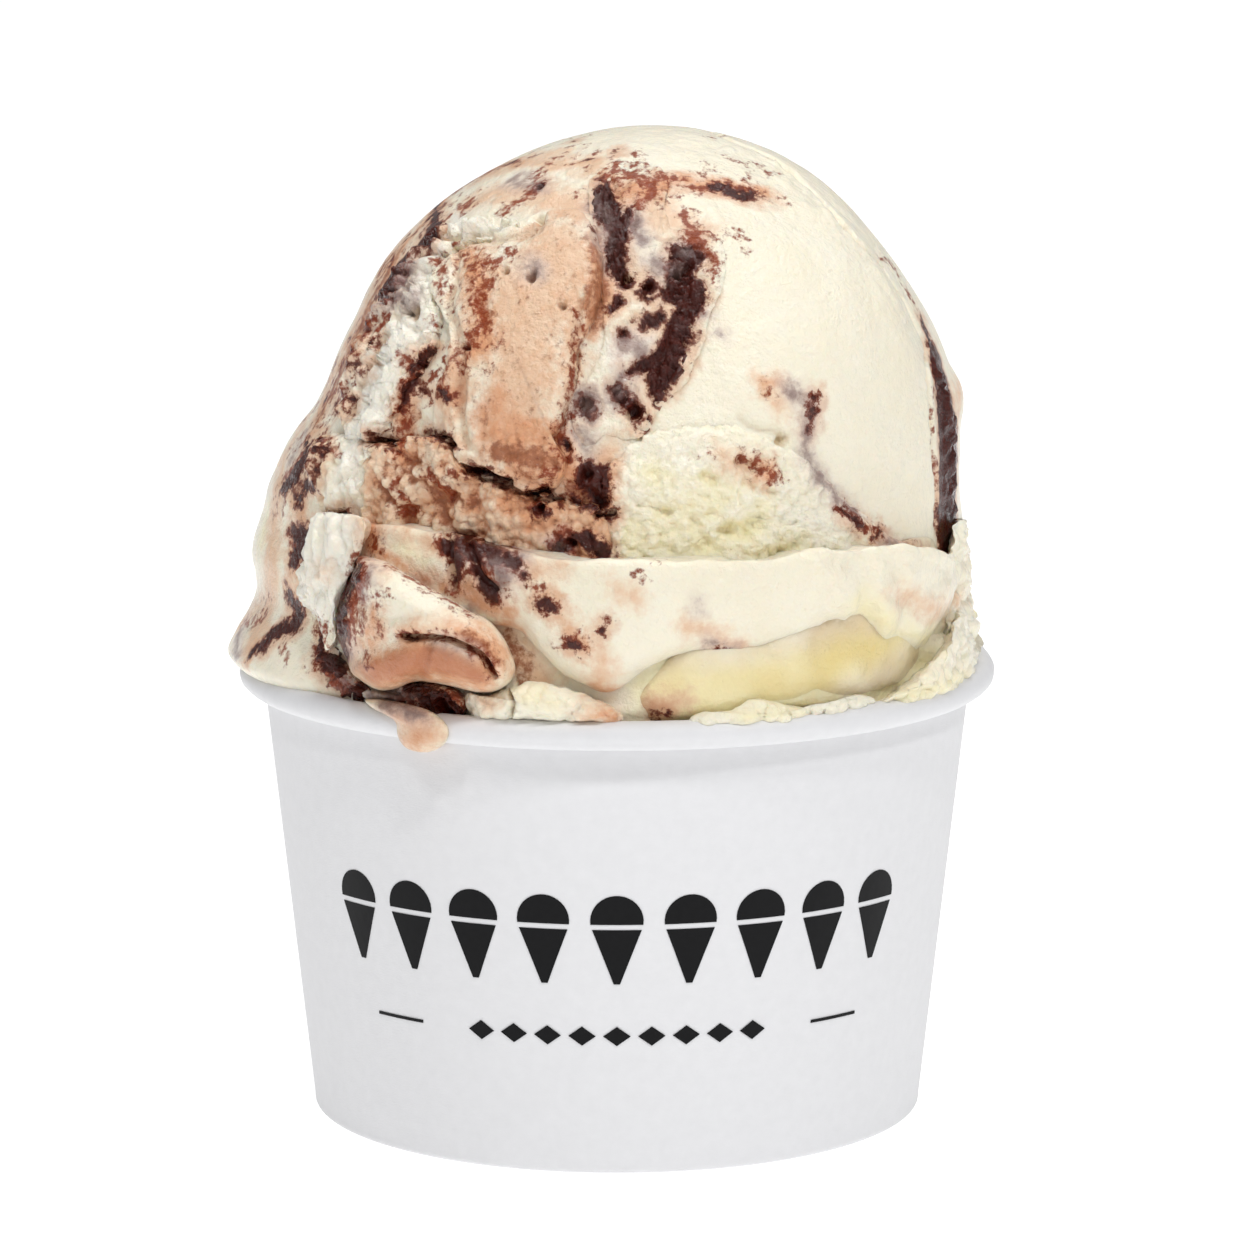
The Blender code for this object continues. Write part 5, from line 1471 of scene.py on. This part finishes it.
def turned_sheet(name, outline, columns, finish):
    """Turns a closed outline about the axis; the roll gets wrinkles and the back a lapped seam."""
    turn = np.linspace(0, 2 * pi, columns, endpoint=False)[None, :]
    r, z = outline[:, :1], outline[:, 1:]
    lap = (np.abs(turn - pi) * r < 3.0) & (z > 1.2) & (z < 48.4) & (r > inner_wall(z) + 0.3)
    around = np.stack(np.broadcast_arrays(np.cos(turn) * 40, np.sin(turn) * 40, z), axis=-1)
    on_roll = eased(z, 48.6, 49.6) * eased(np.hypot(r - ROLL_CENTRE[0], z - ROLL_CENTRE[1]), 1.4, 1.55)
    wrinkles = 0.06 * smooth_noise(around * (1, 1, 0.35), 0.9, 120) + 0.04 * smooth_noise(around, 2.4, 121)
    shifted = r + 0.35 * lap + on_roll * wrinkles
    grid = np.stack(np.broadcast_arrays(shifted * np.sin(turn), -shifted * np.cos(turn), z), axis=-1)
    rows = len(grid)
    i, j = np.meshgrid(np.arange(rows), np.arange(columns), indexing="ij")
    down, onward = (i + 1) % rows, (j + 1) % columns
    quads = np.stack([i * columns + j, i * columns + onward, down * columns + onward, down * columns + j], axis=-1)
    mesh = bpy.data.meshes.new(name)
    mesh.from_pydata(grid.reshape(-1, 3) * MM, [], quads.reshape(-1, 4).tolist())
    turn_outward(mesh)
    mesh.shade_smooth()
    return placed(name, mesh, finish)


wall = turned_sheet("paper_wall", sheet_outline(wall_path(), BOARD), 360, paper_finish)
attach(wall, "root")
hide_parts("cup_wall")
base = bpy.data.objects["cup_base"]
for slot in base.material_slots:
    slot.material = paper_finish
print("wall faces", len(wall.data.polygons))

# %% [markdown]
# The cup carries one dark print across its front. Ink on coated board has no thickness
# that the eye sees, so each mark is a patch a few hundredths of a millimetre thick that
# follows the wall. The design here is a plain row of cones over a row of lozenges.

# %% Black print
def printing_ink():
    """Flexographic black on coated board: a little denser and glossier than the paper round it."""
    made, tree, shader = new_material("printing_ink")
    place = add(tree, "ShaderNodeTexCoord").outputs["Object"]
    mottle = add(tree, "ShaderNodeTexNoise", Vector=place, Scale=1 / (0.8 * MM), Detail=3.0).outputs["Fac"]
    tone = add(tree, "ShaderNodeMix", {"data_type": "RGBA"}, Factor=mottle, _6="#08080A", _7="#121214")
    tree.links.new(tone.outputs[2], shader.inputs["Base Color"])
    shader.inputs["Roughness"].default_value = 0.5
    shader.inputs["Specular IOR Level"].default_value = 0.15
    return made


ink_finish = printing_ink()


def outer_wall(z):
    """Radius of the wall's outer face at a height."""
    return inner_wall(z) + BOARD


def ink_patch(outline, azimuth_middle, z_middle):
    """A flat shape of (x, z) mm wrapped on the wall: x becomes an arc, and the shape gets a thin edge."""
    bm = bmesh.new()
    flat = [bm.verts.new((x, 0, z)) for x, z in outline]
    face = bm.faces.new(flat)
    bmesh.ops.triangulate(bm, faces=[face])
    for _ in range(2):
        long_edges = [e for e in bm.edges if e.calc_length() > 1.6]
        bmesh.ops.subdivide_edges(bm, edges=long_edges, cuts=1, use_grid_fill=False)
        bmesh.ops.triangulate(bm, faces=bm.faces)
    extruded = bmesh.ops.extrude_face_region(bm, geom=bm.faces[:])
    front_side = {v for v in extruded["geom"] if isinstance(v, bmesh.types.BMVert)}
    for vert in bm.verts:
        z = z_middle + vert.co.z
        r = outer_wall(z) + (0.035 if vert in front_side else -0.05)
        turn = radians(azimuth_middle) + vert.co.x / outer_wall(z_middle)
        vert.co = (r * sin(turn) * MM, -r * cos(turn) * MM, z * MM)
    bmesh.ops.recalc_face_normals(bm, faces=bm.faces)
    return bm


def joined_ink(name, patches):
    """All the patches of the print as one piece."""
    whole = bmesh.new()
    for patch in patches:
        part = bpy.data.meshes.new("patch")
        patch.to_mesh(part)
        patch.free()
        whole.from_mesh(part)
        bpy.data.meshes.remove(part)
    mesh = bpy.data.meshes.new(name)
    whole.to_mesh(mesh)
    whole.free()
    turn_outward(mesh)
    return placed(name, mesh, ink_finish)


def half_disc(radius, low, steps=20):
    """The upper part of a disc, cut level at low."""
    start = np.arcsin(low / radius)
    angle = np.linspace(start, pi - start, steps)
    return [(radius * cos(a), radius * sin(a)) for a in angle]


SCOOP = [(x, z + 1.6) for x, z in half_disc(2.9, -0.4)]
CONE = [(-2.7, 0.6), (2.7, 0.6), (0.35, -5.6), (-0.35, -5.6)]
LOZENGE = [(-1.5, 0), (0, -1.1), (1.5, 0), (0, 1.1)]
RULE = [(-3.3, -0.17), (3.3, -0.17), (3.3, 0.17), (-3.3, 0.17)]
CONE_AZIMUTHS = np.linspace(-49, 49, 9)
patches = []
for turn in CONE_AZIMUTHS:
    patches += [ink_patch(SCOOP, turn, 27.6), ink_patch(CONE, turn, 27.6)]
for turn in np.linspace(-24, 24, 9):
    patches.append(ink_patch(LOZENGE, turn, 16.0))
for turn in (-41, 41):
    patches.append(ink_patch(RULE, turn, 16.0))
ink = joined_ink("printed_band", patches)
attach(ink, "root")
print("ink faces", len(ink.data.polygons))

# %% [markdown]
# ## Floor, light and camera
# The cup stands on a white sheet in an even, bright studio, so shadows are short and
# pale. The camera repeats the numbers of the eye: a long lens and hardly any shift.

# %% Stage
def white_floor():
    """A wide disc at the foot's height, lit from within like a light table, so that it stays white far out."""
    bm = bmesh.new()
    bmesh.ops.create_circle(bm, cap_ends=True, radius=2.5, segments=96)
    mesh = bpy.data.meshes.new("floor")
    bm.to_mesh(mesh)
    bm.free()
    made, tree, shader = new_material("white_card")
    place = add(tree, "ShaderNodeTexCoord").outputs["Object"]
    grain = add(tree, "ShaderNodeTexNoise", Vector=place, Scale=400.0).outputs["Fac"]
    tone = add(tree, "ShaderNodeMix", {"data_type": "RGBA"}, Factor=grain, _6="#A4A4A4", _7="#A9A9A9")
    tree.links.new(tone.outputs[2], shader.inputs["Base Color"])
    shader.inputs["Roughness"].default_value = 0.9
    shader.inputs["Specular IOR Level"].default_value = 0.0
    shader.inputs["Emission Color"].default_value = (1.0, 1.0, 1.0, 1.0)
    shader.inputs["Emission Strength"].default_value = 0.93
    floor = placed("floor", mesh, made)


def area_light(name, place, target, size, watts):
    """A square lamp aimed at a point."""
    lamp = bpy.data.lights.new(name, "AREA")
    lamp.size, lamp.energy = size, watts
    obj = bpy.data.objects.new(name, lamp)
    bpy.context.scene.collection.objects.link(obj)
    away = np.array(place) - target
    turn_to(obj, away, place)


def turn_to(obj, away, place):
    """Puts an object at a place with its own +Z along away and its X level."""
    z = away / np.linalg.norm(away)
    x = np.cross((0, 0, 1), z)
    x /= np.linalg.norm(x)
    y = np.cross(z, x)
    matrix = Matrix([[*row, p] for row, p in zip(np.stack([x, y, z], axis=1).tolist(), place)] + [[0, 0, 0, 1]])
    obj.matrix_world = matrix


white_floor()
area_light("overhead", (0.0, 0.12, 1.0), (0, 0, 0.07), 0.4, 4.0)
for side, watts in ((-0.3, 1.1), (0.08, 1.3), (0.45, 2.2)):
    area_light("key", (side, -0.52, 0.78), (0, 0, 0.07), 0.08, watts)

world = bpy.data.worlds.new("studio")
world.use_nodes = True
world.node_tree.nodes["Background"].inputs["Color"].default_value = (1.0, 1.0, 1.0, 1.0)
world.node_tree.nodes["Background"].inputs["Strength"].default_value = 0.27
bpy.context.scene.world = world
bpy.context.scene.view_settings.view_transform = "Standard"

camera = bpy.data.cameras.new("camera")
camera.sensor_width = 36
camera.lens = 36 * FOCAL / PICTURE
camera.shift_x = (PICTURE / 2 - OPTICAL_CENTRE[0]) / PICTURE
camera.clip_start, camera.clip_end = 0.01, 10
camera_object = bpy.data.objects.new("camera", camera)
bpy.context.scene.collection.objects.link(camera_object)
turn_to(camera_object, TO_EYE, (EYE * MM).tolist())
bpy.context.scene.camera = camera_object
print("lens", round(camera.lens, 2), "mm, shift", round(camera.shift_x, 5))
